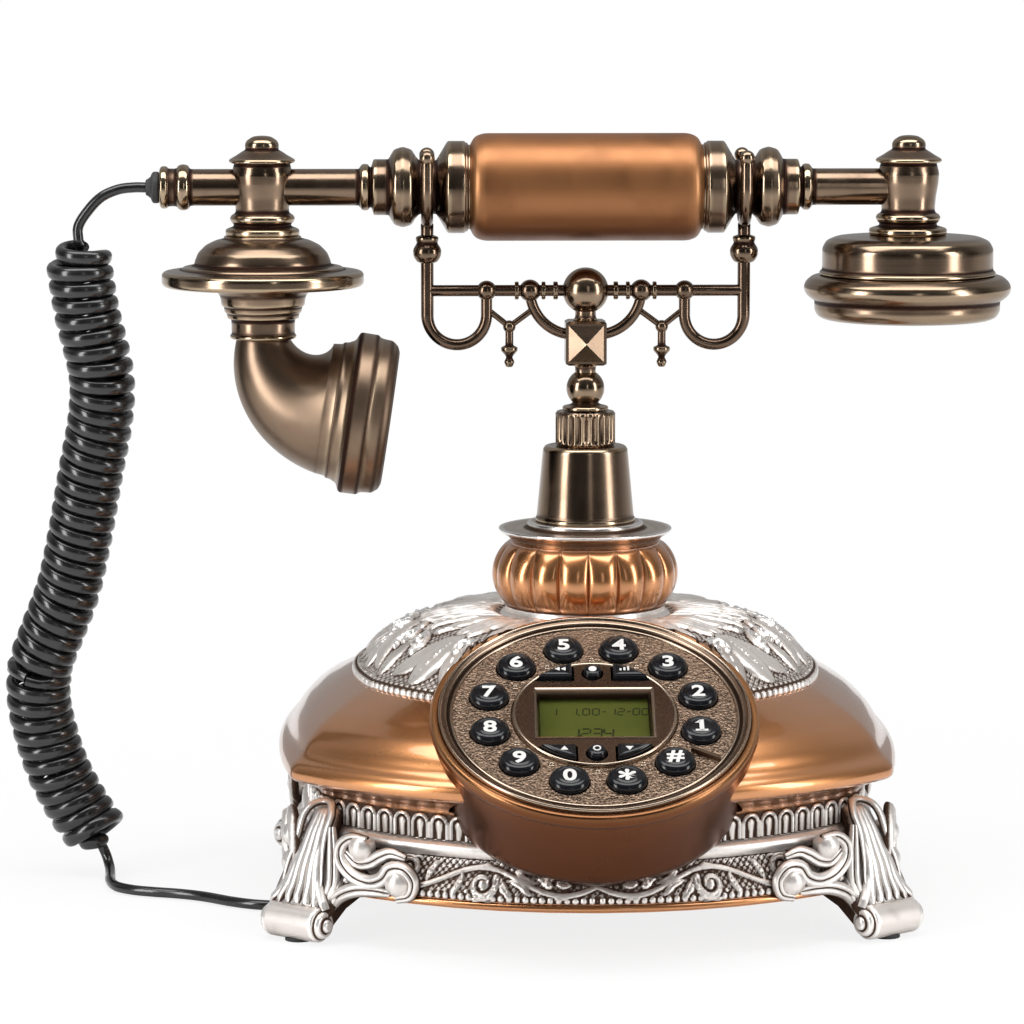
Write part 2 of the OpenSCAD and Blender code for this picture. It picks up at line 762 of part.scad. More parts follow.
// Electronics board on four posts, with the spring's cup, the hook switch and two chips
module main_board() {
  color([0.1, 0.35, 0.18]) {
    translate([board_left, -board_front, board_z]) cube([board_w, board_d, board_t]);
    for (x = [board_left + post_in, board_left + board_w - post_in], y = [post_in - board_front, board_d - board_front - post_in])
      translate([x, y, 0]) rod(post_r, apron_z, board_z);
    rod(cup_r, board_z + board_t, spring_z);
    translate([switch_x, -switch_w / 2, board_z + board_t])
      cube([switch_w, switch_w, plunger_foot_z - slip - board_z - board_t]);
    translate([22, -8, board_z + board_t]) cube([14, 14, 2]);
    translate([22, 12, board_z + board_t]) cube([18, 8, 3]);
  }
}

// Points of one hexagonal section of a wound wire
function wire_ring(centre, u, v, r) = [for (k = [0 : 5]) centre + r * (cos(60 * k) * u + sin(60 * k) * v)];

// Sections along an upright compression spring
spring_h = plunger_foot_z - spring_z;
spring_rings = [for (i = [0 : spring_turns * 8])
  let (a = 45 * i, t = i / (spring_turns * 8))
  let (z = spring_z + spring_wire + (spring_h - 2 * spring_wire) * t)
  wire_ring([spring_r * cos(a), spring_r * sin(a), z], [cos(a), sin(a), 0], [0, 0, 1], spring_wire)];

module hook_spring() color(steel) capped_skin([for (i = [len(spring_rings) - 1 : -1 : 0]) spring_rings[i]]);

module ringer() {
  color([0.25, 0.25, 0.27])
    translate([ringer_x, ringer_y, 0])
      turned([[0, apron_z], [ringer_r, apron_z], [ringer_r, apron_z + 2], [ringer_r - 5, apron_z + 5], [8, apron_z + 9], [0, apron_z + 9]]);
}

// Wall socket for the line, open to the rear
socket_w = 9.8;
socket_h = 6.8;
module line_jack() {
  color(black)
    difference() {
      translate([-jack_w / 2, jack_back - jack_depth + slip, apron_z]) cube([jack_w, jack_depth, jack_h]);
      translate([-socket_w / 2, jack_back - jack_depth + slip + 2.5, apron_z + (jack_h - socket_h) / 2])
        cube([socket_w, jack_depth, socket_h]);
    }
}

// ---- Stem ----

// Outer radius of the cushion at a share of its height
function cushion_profile(t) = cushion_end_r + (cushion_r - cushion_end_r) * pow(sin(180 * t), 0.6);

lobe_steps = 4;
cushion_levels = 8;
function cushion_ring(t) =
  [for (j = [0 : lobes * lobe_steps - 1])
    let (a = 360 * j / (lobes * lobe_steps), lobe = abs(cos(a * lobes / 2)))
    let (r = cushion_profile(t) - 1.6 * (1 - lobe) * sin(180 * t))
    [r * cos(a), r * sin(a), cushion_z + cushion_h * t]];

module cushion() {
  n = lobes * lobe_steps;
  bore = [for (z = [cushion_z + cushion_h, cushion_z])
    [for (j = [0 : n - 1]) [(tube_r + slip) * cos(360 * j / n), (tube_r + slip) * sin(360 * j / n), z]]];
  color(copper)
    ring_skin(concat([for (i = [0 : cushion_levels]) cushion_ring(i / cushion_levels)], bore));
}

module stem_dish() {
  color(silver)
    turned([
      [tube_r + slip, dish_z], [cushion_end_r - 0.6, dish_z], [cushion_end_r + 0.4, dish_z + dish_h * 0.4],
      [dish_r, flange_z - 0.8], [dish_r, flange_z], [flange_r + 4, flange_z - 0.6], [flange_r, flange_z],
      [flange_r, cone_z - 0.4], [flange_r - 0.5, cone_z], [tube_r + slip, cone_z]]);
}

module stem_cone() {
  color(bronze)
    turned([
      [tube_r + slip, cone_z], [cone_r, cone_z], [cone_r, cone_z + 1], [cone_r - 0.4, cone_z + 1.6],
      [cone_top_r, collar_z - 1], [cone_top_r - 0.8, collar_z], [tube_r + slip, collar_z]]);
}

module fluted_collar() {
  color(bronze)
    difference() {
      tube(collar_r, tube_r + slip, collar_z, collar_top);
      for (i = [0 : flutes - 1])
        rotate(360 * i / flutes)
          translate([collar_r + 0.45, 0, 0])
            rod(0.85, collar_z + 1, collar_top - 1.4);
    }
}

// Threaded tube that clamps the stem to the crown, with its nut
module stem_tube() {
  color(steel) {
    tube(tube_r, plunger_r + slip, crown_z, collar_top - 0.6);
    tube(tube_r + 4.5, tube_r, crown_top - wall - 3.5, crown_top - wall);
  }
}

// ---- Cradle ----

ball_z = cradle_z + 6.6;
ball_r = 5.7;
neck_rod_r = 3.1;
block_z = bar_z - 22.1;
seat_gap = slip;
fork_r = neck_r + upright_r + seat_gap;
fork_z = axis_z;

// Turned middle of the cradle with the plunger that reaches the switch
module cradle_block() {
  color(bronze)
    difference() {
      union() {
        rod(plunger_r, plunger_foot_z, cradle_z);
        rod(plunger_foot_r, plunger_foot_z, plunger_foot_z + 2);
        rod(tube_r, stop_z - 2, stop_z);
        turned([[0, cradle_z], [6.9, cradle_z], [6.9, cradle_z + 1.2], [4.4, cradle_z + 1.8], [0, cradle_z + 1.8]]);
        rod(neck_rod_r, cradle_z, bar_z);
        translate([0, 0, ball_z]) sphere(r = ball_r, $fn = 48);
        translate([-block_half, -block_half, block_z]) cube([2 * block_half, 2 * block_half, block_h]);
        for (a = [90, 270]) rotate(a) block_point();
        translate([0, 0, bar_z]) sphere(r = sphere_r, $fn = 48);
      }
      translate([-sphere_r - 1, 0, bar_z]) rotate([0, 90, 0]) cylinder(r = rod_r + 0.1, h = 2 * sphere_r + 2, $fn = 32);
      for (sx = [0, 1]) mirror([sx, 0, 0]) side_arc(rod_r);
    }
}

// The low pyramid on the front or back of the block
point_h = 2.6;
module block_point() {
  h = block_h - 1;
  w = block_half - 0.5;
  mid = block_z + block_h / 2;
  polyhedron(
    points = [
      [block_half - 0.5, -w, mid - h / 2], [block_half - 0.5, w, mid - h / 2], [block_half - 0.5, w, mid + h / 2],
      [block_half - 0.5, -w, mid + h / 2], [block_half + point_h, 0, mid]],
    faces = [[0, 1, 2, 3], [1, 0, 4], [2, 1, 4], [3, 2, 4], [0, 3, 4]]);
}

// A bead with two thin collars, along X
module bar_bead(x, r, collars) {
  translate([x, 0, bar_z]) {
    sphere(r = r, $fn = 32);
    if (collars)
      for (s = [-1, 1]) translate([s * (r + 0.7) - 0.6, 0, 0]) rotate([0, 90, 0]) cylinder(r = rod_r + 1, h = 1.2, $fn = 32);
  }
}

// A round rod between two points of the X-Z plane
module slant(p, q, r) {
  d = q - p;
  translate([p[0], 0, p[1]])
    rotate([0, atan2(d[0], d[1]), 0])
      cylinder(r = r, h = norm(d), $fn = 24);
}

upright_x = grip_half + seat_offset;
drop_x = 22.8;
drop_z = bar_z - 10.8;
arc_x = 16.6;
// The knob on each upright lies this far below the fork
knob_drop = 19.4;
arc_foot = 3.4;
loop_r = (upright_x - loop_x) / 2;
loop_z = bar_z - 17.9 + rod_r + loop_r;

// Quarter of a ring between the bar and the block
module side_arc(r) {
  translate([arc_foot, 0, bar_z])
    rotate([90, 0, 0])
      rotate([0, 0, 270])
        rotate_extrude(angle = 90, $fn = 48)
          translate([arc_x - arc_foot, 0])
            circle(r = r, $fn = 24);
}

// The right half of the cradle
module cradle_half() {
  slant([0, bar_z], [upright_x, bar_z], rod_r);
  bar_bead(loop_x, 3, false);
  bar_bead(arc_x, 3.3, true);
  translate([8.3, 0, bar_z]) rotate([0, 90, 0]) cylinder(r = rod_r + 1, h = 1.4, $fn = 32);
  slant([upright_x, loop_z], [upright_x, fork_z - fork_r], upright_r);
  slant([loop_x, loop_z], [loop_x, bar_z], rod_r);
  translate([upright_x - loop_r, 0, loop_z])
    rotate([90, 0, 0])
      rotate([0, 0, 180])
        rotate_extrude(angle = 180, $fn = 48)
          translate([loop_r, 0])
            circle(r = rod_r, $fn = 24);
  side_arc(rod_r - 0.1);
  slant([drop_x, drop_z], [loop_x, drop_z + 5.4], 0.9);
  slant([drop_x, drop_z], [arc_x - 0.6, drop_z + 5], 0.9);
  translate([drop_x, 0, drop_z]) sphere(r = 1.9, $fn = 24);
  translate([drop_x, 0, 0])
    turned([
      [0, drop_z - 12.3], [1, drop_z - 12], [1.6, drop_z - 10.6], [0.9, drop_z - 9.2], [1.2, drop_z - 8.6],
      [2.5, drop_z - 7.2], [2.5, drop_z - 6.2], [1.2, drop_z - 5.6], [1.2, drop_z], [0, drop_z]]);
  translate([upright_x, 0, fork_z - knob_drop])
    turned([
      [0, -3.6], [3, -3], [4.2, -1], [4.2, 1], [3, 2.8], [3.4, 3.6], [3.4, 4.6], [0, 5.8]]);
  translate([upright_x, 0, fork_z])
    rotate([90, 0, 90])
      rotate([0, 0, 180])
        rotate_extrude(angle = 180, $fn = 48)
          translate([fork_r, 0])
            circle(r = upright_r - 0.1, $fn = 24);
  for (s = [-1, 1])
    translate([upright_x, s * fork_r, 0]) {
      rod(upright_r - 0.1, fork_z, fork_z + prong_rise);
      translate([0, 0, fork_z + prong_rise + 1]) sphere(r = upright_r + 0.4, $fn = 24);
    }
}

module cradle_fork() {
  color(bronze)
    union() {
      cradle_half();
      mirror([1, 0, 0]) cradle_half();
    }
}

// ---- Handset ----

// Turns a turned piece to lie along X, with its height measured from the middle
module along_x() translate([0, 0, axis_z]) rotate([0, 90, 0]) children();

spigot_r = grip_r - 4;
spigot_len = 10;
grip_bore = spigot_r + 0.1;

module grip_sleeve() {
  color(copper)
    along_x()
      turned([
        [grip_bore, -grip_half], [grip_r - 3.4, -grip_half], [grip_r - 1, -grip_half + 1.3], [grip_r, -grip_half + 4],
        [grip_r, grip_half - 4], [grip_r - 1, grip_half - 1.3], [grip_r - 3.4, grip_half], [grip_bore, grip_half]]);
}

neck_in = grip_half + 8;
neck_out = grip_half + 18;
arm_end = tee_x - barrel_r + 2.6;
arm_bore = 3.4;

// The turned neck on the right of the grip
module neck_half() {
  along_x()
    turned([
      [spigot_r - 2, grip_half - spigot_len], [spigot_r, grip_half - spigot_len], [spigot_r, grip_half],
      [end_collar_r - 0.6, grip_half], [end_collar_r, grip_half + 0.8], [end_collar_r, grip_half + 2],
      [end_collar_r - 0.8, grip_half + 2.6], [end_collar_r - 0.8, grip_half + 4.6], [end_collar_r, grip_half + 5.2],
      [end_collar_r, grip_half + 6.8], [end_collar_r - 1, neck_in - 0.3], [neck_r + 2, neck_in],
      [neck_r, neck_in + 1.4], [neck_r, neck_out - 2.6], [bead_r - 2.6, neck_out - 1.4], [bead_r - 0.6, neck_out],
      [bead_r, neck_out + 2], [bead_r - 0.6, neck_out + 4], [bead_r - 2.6, neck_out + 5.4],
      [neck_r, neck_out + 6], [neck_r, neck_out + 10], [neck_r - 1, neck_out + 10.4], [neck_r - 1, neck_out + 13],
      [arm_r, neck_out + 13.6], [arm_r, arm_end], [arm_bore, arm_end], [arm_bore, grip_half],
      [spigot_r - 2, grip_half - 1]]);
}

module neck_right() color(bronze) neck_half();
module neck_left() color(bronze) mirror([1, 0, 0]) neck_half();

// Profile of the barrel shared by both ends, from the finial down to the lower collars
function barrel_points(r, foot_r) = [
  [0, 15.4], [2.4, 15], [4.4, 13.4], [5, 11.4], [4.4, 10.2], [7, 9.8], [9.4, 9.4], [9.8, 8.4],
  [9.4, 7.2], [r - 0.4, 6.4], [r - 0.9, 3], [r, -1], [r + 0.2, -6.4], [r + 1.5, -7.6], [r + 1.5, -9.8],
  [r + 0.6, -10.8], [foot_r, -12.2], [foot_r, tee_foot]];
tee_foot = -14.4;
tee_bore = 4;

// A bore from the inner side that takes the neck's thin tube
module arm_socket() along_x() rod(arm_r + 0.1, tee_x - barrel_r - 3, arm_end);

module ear_tee() {
  color(bronze)
    difference() {
      translate([tee_x, 0, axis_z])
        turned(concat(barrel_points(barrel_r, 11.6), [[tee_bore, tee_foot], [tee_bore, 4], [0, 4]]));
      arm_socket();
      along_x() rod(arm_bore, tee_x - barrel_r, tee_x);
    }
}

// Length of the tube beyond the mouthpiece, to the cord
gland_out = 30.4;
gland_x = tee_x + gland_out;
module mouth_tee() {
  color(bronze)
    mirror([1, 0, 0])
      difference() {
        union() {
          translate([tee_x, 0, axis_z]) turned(concat(barrel_points(barrel_r, 11), [[0, tee_foot]]));
          along_x()
            turned([
              [0, tee_x], [arm_r, tee_x], [arm_r, gland_x - 9], [6.6, gland_x - 8.4], [6.9, gland_x - 7], [6.6, gland_x - 5.6],
              [5.6, gland_x - 5], [5.6, gland_x - 2.6], [6.3, gland_x - 2], [6.3, gland_x - 0.6], [5.6, gland_x], [0, gland_x]]);
        }
        translate([tee_x, 0, axis_z]) rod(tee_bore, tee_foot - 1, 4);
        arm_socket();
        along_x() rod(cord_d / 2 + slip, tee_x - barrel_r, gland_x + 1);
      }
}

// The disc and the horn hang this far below the handset's axis
disc_drop = 27.2;
disc_z = axis_z - disc_drop;
disc_top = axis_z + tee_foot;
horn_drop = 45.1;
horn_z = axis_z - horn_drop;
mic_r = 4.9;
mic_h = 5;

module mouth_disc() {
  color(bronze)
    translate([-tee_x, 0, 0])
      turned([
        [mic_r + 0.1, horn_z], [9, horn_z], [9.6, horn_z + 0.6], [9.6, horn_z + 1.8], [9, horn_z + 2.4],
        [9.4, horn_z + 5], [10.4, horn_z + 8], [11.6, horn_z + 8.6], [11.6, horn_z + 10.4], [13.2, horn_z + 11],
        [13.2, horn_z + 13.4], [16, disc_z - 1.9], [disc_r - 1, disc_z - 2.2], [disc_r, disc_z - 1.2],
        [disc_r, disc_z + 1.4], [disc_r - 1, disc_z + 2.4], [dome_r + 4.3, disc_z + 2.4],
        [dome_r + 3.7, disc_z + 3.4], [dome_r + 1.3, disc_z + 3.6], [dome_r, disc_z + 5], [16.6, disc_z + 8.6], [13.4, disc_z + 10.8], [11.4, disc_top - 1],
        [11.2, disc_top], [mic_r + 0.1, disc_top]]);
}

module microphone() {
  color(steel)
    translate([-tee_x, 0, 0])
      rod(mic_r, horn_z + 1, horn_z + 1 + mic_h);
}

// The horn: a bend that widens, then a moulded rim. Stations are [share of the bend, distance past it, radius].
horn_sides = 24;
horn_steps = 9;
rim_len = 20;
horn_outer = concat(
  [for (i = [0 : horn_steps]) let (t = i / horn_steps) [t, 0, horn_r0 + (horn_r1 - horn_r0) * pow(t, 1.05)]],
  [[1, 3.4, horn_r1 + 0.6], [1, 4, horn_rim_r - 2.6], [1, 8, horn_rim_r - 2.2], [1, 8.8, horn_rim_r - 3],
   [1, 10, horn_rim_r - 0.8], [1, 12, horn_rim_r], [1, rim_len - 2, horn_rim_r - 0.2], [1, rim_len, horn_rim_r - 1.6]]);
horn_inner = concat(
  [[1, rim_len, horn_rim_r - 4], [1, rim_len - 5, horn_r1 - 0.6], [1, 1, horn_r1 - horn_wall]],
  [for (i = [horn_steps - 1 : -1 : 0])
    let (t = i / horn_steps) [t, 0, horn_r0 + (horn_r1 - horn_r0) * pow(t, 1.05) - horn_wall]]);

// A ring of the horn at one station
function horn_ring(s) =
  let (a = horn_turn * s[0], ahead = [sin(a), 0, -cos(a)], up = [cos(a), 0, sin(a)])
  let (c = [-tee_x + horn_bend * (1 - cos(a)), 0, horn_z - horn_bend * sin(a)] + s[1] * ahead)
  [for (k = [0 : horn_sides - 1])
    let (b = 360 * k / horn_sides) c + s[2] * (cos(b) * up + sin(b) * [0, 1, 0])];

module horn() color(bronze) ring_skin([for (s = concat(horn_outer, horn_inner)) horn_ring(s)]);

ear_top = axis_z + tee_foot;
ear_seam = ear_top - ear_h;
cap_floor = ear_seam - 13.2;
ear_wall = 2.4;

module ear_shell() {
  color(bronze)
    translate([tee_x, 0, 0])
      turned([
        [tee_bore, ear_top], [13, ear_top], [ear_r - 4, ear_top - 0.6], [ear_r - 1.2, ear_top - 1.8], [ear_r, ear_top - 4],
        [ear_r, ear_seam + 1.6], [ear_r + 0.8, ear_seam + 1], [ear_r + 0.8, ear_seam],
        [ear_r - ear_wall, ear_seam], [ear_r - ear_wall, ear_top - 5], [tee_bore, ear_top - 3]]);
}

module ear_cap() {
  color(bronze)
    difference() {
      translate([tee_x, 0, 0])
        turned([
          [0, cap_floor], [ear_rim_r - 6.4, cap_floor], [ear_rim_r - 4.4, cap_floor + 0.8], [ear_rim_r - 3.3, cap_floor + 2.6],
          [ear_rim_r - 3.3, cap_floor + 5.6], [ear_rim_r - 2.2, cap_floor + 6.2], [ear_rim_r - 0.6, cap_floor + 7.6],
          [ear_rim_r, cap_floor + 9.4], [ear_rim_r - 0.6, cap_floor + 11.2], [ear_rim_r - 2.4, ear_seam - 0.4],
          [ear_rim_r - 4, ear_seam], [ear_r - ear_wall, ear_seam], [ear_r - ear_wall, cap_floor + wall], [0, cap_floor + wall]]);
      translate([tee_x, 0, 0]) rod(sound_r, cap_floor - 1, cap_floor + wall + 1);
      for (ring = [1, 2], i = [0 : 6 * ring - 1])
        translate([tee_x, 0, 0])
          rotate(360 * i / (6 * ring))
            translate([6 * ring, 0, 0])
              rod(sound_r, cap_floor - 1, cap_floor + wall + 1);
    }
}

module receiver() {
  color([0.2, 0.2, 0.22])
    translate([tee_x, 0, 0])
      turned([
        [0, cap_floor + wall], [ear_r - ear_wall - 2, cap_floor + wall], [ear_r - ear_wall - 2, cap_floor + wall + 3],
        [14, cap_floor + wall + 6], [8, cap_floor + wall + 10], [0, cap_floor + wall + 10]]);
}

gland_len = 4.3;
module cord_gland() {
  color(black)
    mirror([1, 0, 0])
      along_x()
        tube(4.7, cord_d / 2 + 0.05, gland_x, gland_x + gland_len);
}

// ---- Cord ----

// Routes of the cord, as chosen points
upper_route = [
  [-131, 0, 213.6], [-134.4, 0, 213.6], [-139, 0, 213], [-144, 0, 210.8], [-148, 0, 206.8],
  [-151, 0, 202], [-151, 0, 197.3]];
coil_route = [
  [-151, 0, 197], [-151, 0, 192], [-149, 1, 177], [-145, 3, 158], [-145.6, 6, 144], [-149, 9, 127],
  [-152.6, 12, 108], [-156.6, 15, 91], [-162, 18, 77], [-166, 20, 66], [-166.6, 22, 55], [-164.6, 24, 44],
  [-161.6, 25, 34], [-158, 26, 26], [-154, 26, 19], [-150, 25.4, 13.4], [-148.4, 25, 9.8]];
lower_route = concat(
  [[-148.4, 25, 9.8], [-146.8, 24.6, 6.2], [-145.6, 22, 3], [-145, 16, 1.8], [-144.4, 8, 1.8], [-142, 0, 1.8]],
  [for (p = [
    [61.5, 19, 1.8], [55.1, 16, 1.8], [46.5, 13, 1.8], [39.1, 9, 1.8], [30.5, 2, 1.8], [22.5, -2.4, 1.8],
    [13.5, -3.4, 1.8], [6.5, -2, 2.6], [2.1, -0.6, 5.4], [0, 0, 9], [0, 0, 12.5]])
    [grommet_x - p[0], grommet_y + p[1], p[2]]]);

// A point on a smooth curve through chosen points, by Catmull and Rom's rule
function on_route(p, s) =
  let (n = len(p), i = min(floor(s), n - 2), t = s - i)
  let (a = i > 0 ? p[i - 1] : 2 * p[0] - p[1], b = p[i], c = p[i + 1])
  let (d = i < n - 2 ? p[i + 2] : 2 * p[n - 1] - p[n - 2])
  0.5 * ((2 * b) + (c - a) * t + (2 * a - 5 * b + 4 * c - d) * t * t + (3 * b - a - 3 * c + d) * t * t * t);

function unit(v) = v / norm(v);

function route_tangent(p, s) =
  let (n = len(p) - 1, e = 0.02)
  unit(on_route(p, min(n, s + e)) - on_route(p, max(0, s - e)));

// Rings of a plain tube along a route
lead_sides = 8;
function lead_rings(p, steps) =
  [for (i = [0 : steps])
    let (s = (len(p) - 1) * i / steps, t = route_tangent(p, s))
    let (side = unit(cross(t, abs(t[1]) > 0.8 ? [1, 0, 0] : [0, 1, 0])), up = cross(side, t))
    [for (k = [0 : lead_sides - 1])
      let (b = 360 * k / lead_sides) on_route(p, s) + cord_d / 2 * (cos(b) * side + sin(b) * up)]];

module cord_lead_upper() color(black) capped_skin(lead_rings(upper_route, 14));
module cord_lead_lower() color(black) capped_skin(lead_rings(lower_route, 36));

// The coil: a helix about its route, drawn in to the route at both ends
curl_rings = 8;
coil_sides = 6;
coil_steps = turns * curl_rings;
helix_r = coil_r - cord_d / 2;

// The share of the route's length reached at each of its points
coil_lengths = [for (i = 0, l = 0; i < len(coil_route); l = l + (i < len(coil_route) - 1
  ? norm(coil_route[i + 1] - coil_route[i]) : 0), i = i + 1) l];
coil_total = coil_lengths[len(coil_route) - 1];

// The route's own parameter at a share of its length
function at_length(u, i = 0) =
  i >= len(coil_route) - 2 || coil_lengths[i + 1] >= u
    ? i + min(1, (u - coil_lengths[i]) / (coil_lengths[i + 1] - coil_lengths[i]))
    : at_length(u, i + 1);

function helix_reach(t) = helix_r * min(1, min(t, 1 - t) * turns / 0.9);

function helix_point(t) =
  let (s = at_length(coil_total * t), tan = route_tangent(coil_route, s))
  let (side = unit(cross(tan, [0, 1, 0])), up = cross(side, tan), a = 360 * turns * t)
  on_route(coil_route, s) + helix_reach(t) * (cos(a) * side + sin(a) * up);

helix = [for (i = [0 : coil_steps]) helix_point(i / coil_steps)];
coil_start = route_tangent(coil_route, 0);
coil_end = route_tangent(coil_route, len(coil_route) - 1);
coil_line = concat([helix[0], helix[0] + cord_d * coil_start],
  [for (i = [4 : coil_steps - 4]) helix[i]],
  [helix[coil_steps] - cord_d * coil_end, helix[coil_steps]]);

// Sections across the wound line, each turned to it
function coil_ring(i) =
  let (n = len(coil_line), ahead = i == 0 ? coil_start : i == n - 1 ? coil_end
    : unit(coil_line[i + 1] - coil_line[i - 1]))
  let (s = unit(cross(ahead, cross(unit(helix_axis(i)), ahead))), u = cross(s, ahead))
  [for (k = [0 : coil_sides - 1])
    let (b = 360 * k / coil_sides) coil_line[i] + cord_d / 2 * (cos(b) * u + sin(b) * s)];

// A steady reference for the sections: the route's direction, or X at the two straight ends
function helix_axis(i) =
  let (n = len(coil_line))
  i < 2 || i > n - 3 ? [1, 0, 0] : route_tangent(coil_route, at_length(coil_total * (i + 2) / coil_steps));

module cord_coil() color(black) capped_skin([for (i = [0 : len(coil_line) - 1]) coil_ring(i)]);

// The least gap between points of the wound cord that lie half a turn or more apart
coil_gap = min([for (i = [0 : len(coil_line) - 6])
  min([for (j = [i + 5 : min(len(coil_line) - 1, i + 20)]) norm(coil_line[i] - coil_line[j])])]) - cord_d;
echo(coil_least_gap = coil_gap);
coil_length = [for (i = 0, l = 0; i < len(coil_line) - 1; l = l + norm(coil_line[i + 1] - coil_line[i]), i = i + 1) l];
echo(coil_cord_length = coil_length[len(coil_length) - 1]);

base_tray();
apron();
feet_front();
feet_rear();
foot_pads();
body_shell();
crown();
dial_drum();
dial_bezel();
dial_plate();
finger_stop();
lcd_lens();
lcd_module();
key_board();
key_1();
key_2();
key_3();
key_4();
key_5();
key_6();
key_7();
key_8();
key_9();
key_0();
key_star();
key_hash();
key_redial();
key_set();
key_speaker();
key_up();
key_out();
key_down();
cushion();
stem_dish();
stem_cone();
fluted_collar();
stem_tube();
hook_spring();
main_board();
ringer();
line_jack();
cord_grommet();
base_screws();
cradle_fork();
cradle_block();
grip_sleeve();
neck_left();
neck_right();
mouth_tee();
mouth_disc();
microphone();
horn();
ear_tee();
ear_shell();
receiver();
ear_cap();
cord_gland();
cord_lead_upper();
cord_coil();
cord_lead_lower();
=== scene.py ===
import logging
import math
from dataclasses import dataclass, field, replace
from enum import Enum

import bpy
import numpy as np
from mathutils import Matrix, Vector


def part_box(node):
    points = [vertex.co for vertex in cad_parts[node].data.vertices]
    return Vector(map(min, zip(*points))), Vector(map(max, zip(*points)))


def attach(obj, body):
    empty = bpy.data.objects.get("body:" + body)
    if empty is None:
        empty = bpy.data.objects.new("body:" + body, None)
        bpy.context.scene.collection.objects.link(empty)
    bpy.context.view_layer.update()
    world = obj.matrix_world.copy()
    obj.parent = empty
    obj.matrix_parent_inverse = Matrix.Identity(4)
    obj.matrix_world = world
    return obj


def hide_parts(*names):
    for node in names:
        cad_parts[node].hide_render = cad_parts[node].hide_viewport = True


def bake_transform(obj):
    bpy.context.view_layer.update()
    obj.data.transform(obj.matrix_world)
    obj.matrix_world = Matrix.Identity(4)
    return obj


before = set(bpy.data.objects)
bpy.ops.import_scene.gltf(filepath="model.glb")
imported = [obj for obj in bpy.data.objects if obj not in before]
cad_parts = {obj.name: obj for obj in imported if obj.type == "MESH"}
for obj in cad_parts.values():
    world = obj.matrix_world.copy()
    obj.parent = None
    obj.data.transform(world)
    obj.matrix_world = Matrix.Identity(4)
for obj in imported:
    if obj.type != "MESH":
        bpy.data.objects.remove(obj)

MM = 0.001
TAU = 2 * math.pi
HANDSET_Z = 213.6
DIAL_TILT = 28
SHARP_ANGLE = 40
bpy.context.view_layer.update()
log = logging.getLogger("cradle_phone")
Array = np.ndarray
Triple = tuple[float, float, float]
Socket = bpy.types.NodeSocket
Node = bpy.types.Node
Piece = bpy.types.Object


# ---- Surfaces worked out with numpy ----


def unit(v: Array) -> Array:
    """Vectors of length one along the last axis."""
    v = np.asarray(v, float)
    return v / np.maximum(np.linalg.norm(v, axis=-1, keepdims=True), 1e-12)


def fillet(points: Array, radius: float, steps: int = 3) -> Array:
    """Rounds each corner of a line by a parabola that starts and ends a set distance from it.

    Args:
        points: Corners of an open line.
        radius: Largest distance cut from each edge, held to 0.45 of the edge.
        steps: Pieces of each parabola.
    Returns:
        The rounded line, with the same two ends.
    """
    p = np.asarray(points, float)
    back, ahead = p[:-2] - p[1:-1], p[2:] - p[1:-1]
    lengths = np.linalg.norm(back, axis=1), np.linalg.norm(ahead, axis=1)
    cut = np.minimum(radius, 0.45 * np.minimum(*lengths))[:, None]
    a, b = p[1:-1] + unit(back) * cut, p[1:-1] + unit(ahead) * cut
    t = np.linspace(0, 1, steps + 1)[:, None, None]
    curve = (1 - t) ** 2 * a + 2 * t * (1 - t) * p[1:-1] + t**2 * b
    return np.vstack([p[:1], curve.transpose(1, 0, 2).reshape(-1, p.shape[1]), p[-1:]])


def arc_lengths(line: Array) -> Array:
    """Distance along a line at each of its points."""
    return np.concatenate([[0], np.cumsum(np.linalg.norm(np.diff(line, axis=0), axis=1))])


def dense(line: Array, step: float) -> Array:
    """Adds evenly spaced points to a line and keeps its own."""
    s = arc_lengths(line)
    keep = np.concatenate([[True], np.diff(s) > 1e-9])
    line, s = np.asarray(line)[keep], s[keep]
    places = np.unique(np.round(np.concatenate([s, np.arange(0, s[-1], step)]), 4))
    return np.stack([np.interp(places, s, line[:, k]) for k in range(line.shape[1])], axis=1)


def catmull(points: Array, count: int) -> Array:
    """Points on Catmull and Rom's curve through chosen points, with even steps of its parameter."""
    p = np.asarray(points, float)
    n = len(p)
    s = np.linspace(0, n - 1, count)
    i = np.minimum(s.astype(int), n - 2)
    t = (s - i)[:, None]
    ext = np.vstack([2 * p[0] - p[1], p, 2 * p[-1] - p[-2]])
    a, b, c, d = ext[i], ext[i + 1], ext[i + 2], ext[i + 3]
    return 0.5 * (2 * b + (c - a) * t + (2 * a - 5 * b + 4 * c - d) * t**2 + (3 * b - a - 3 * c + d) * t**3)


def edge_relief(line: Array, reach: float = 0.7) -> Array:
    """How proud each point of a section stands, from 0 to 1: each corner's turn spread by a bell curve."""
    s = arc_lengths(line)
    d = np.diff(line, axis=0)
    turn = np.arctan2(d[:-1, 0] * d[1:, 1] - d[:-1, 1] * d[1:, 0], (d[:-1] * d[1:]).sum(axis=1))
    spread = np.exp(-(((s[:, None] - s[None, 1:-1]) / reach) ** 2)) @ turn
    return np.clip(0.5 + 0.42 * spread, 0, 1)


@dataclass(frozen=True)
class Place:
    """A frame of axes: where a turned or drawn form stands."""

    origin: Triple = (0, 0, 0)
    across: Triple = (1, 0, 0)
    along: Triple = (0, 1, 0)
    out: Triple = (0, 0, 1)

    def put(self, p: Array) -> Array:
        """Carries points from these axes to the row's."""
        return np.asarray(self.origin) + p @ np.array([self.across, self.along, self.out], float)


def lying(x: float = 0, z: float = HANDSET_Z, side: int = 1) -> Place:
    """Axes of a form turned about a line along X, on the right or mirrored to the left."""
    return Place((x, 0, z), (0, side, 0), (0, 0, 1), (side, 0, 0))


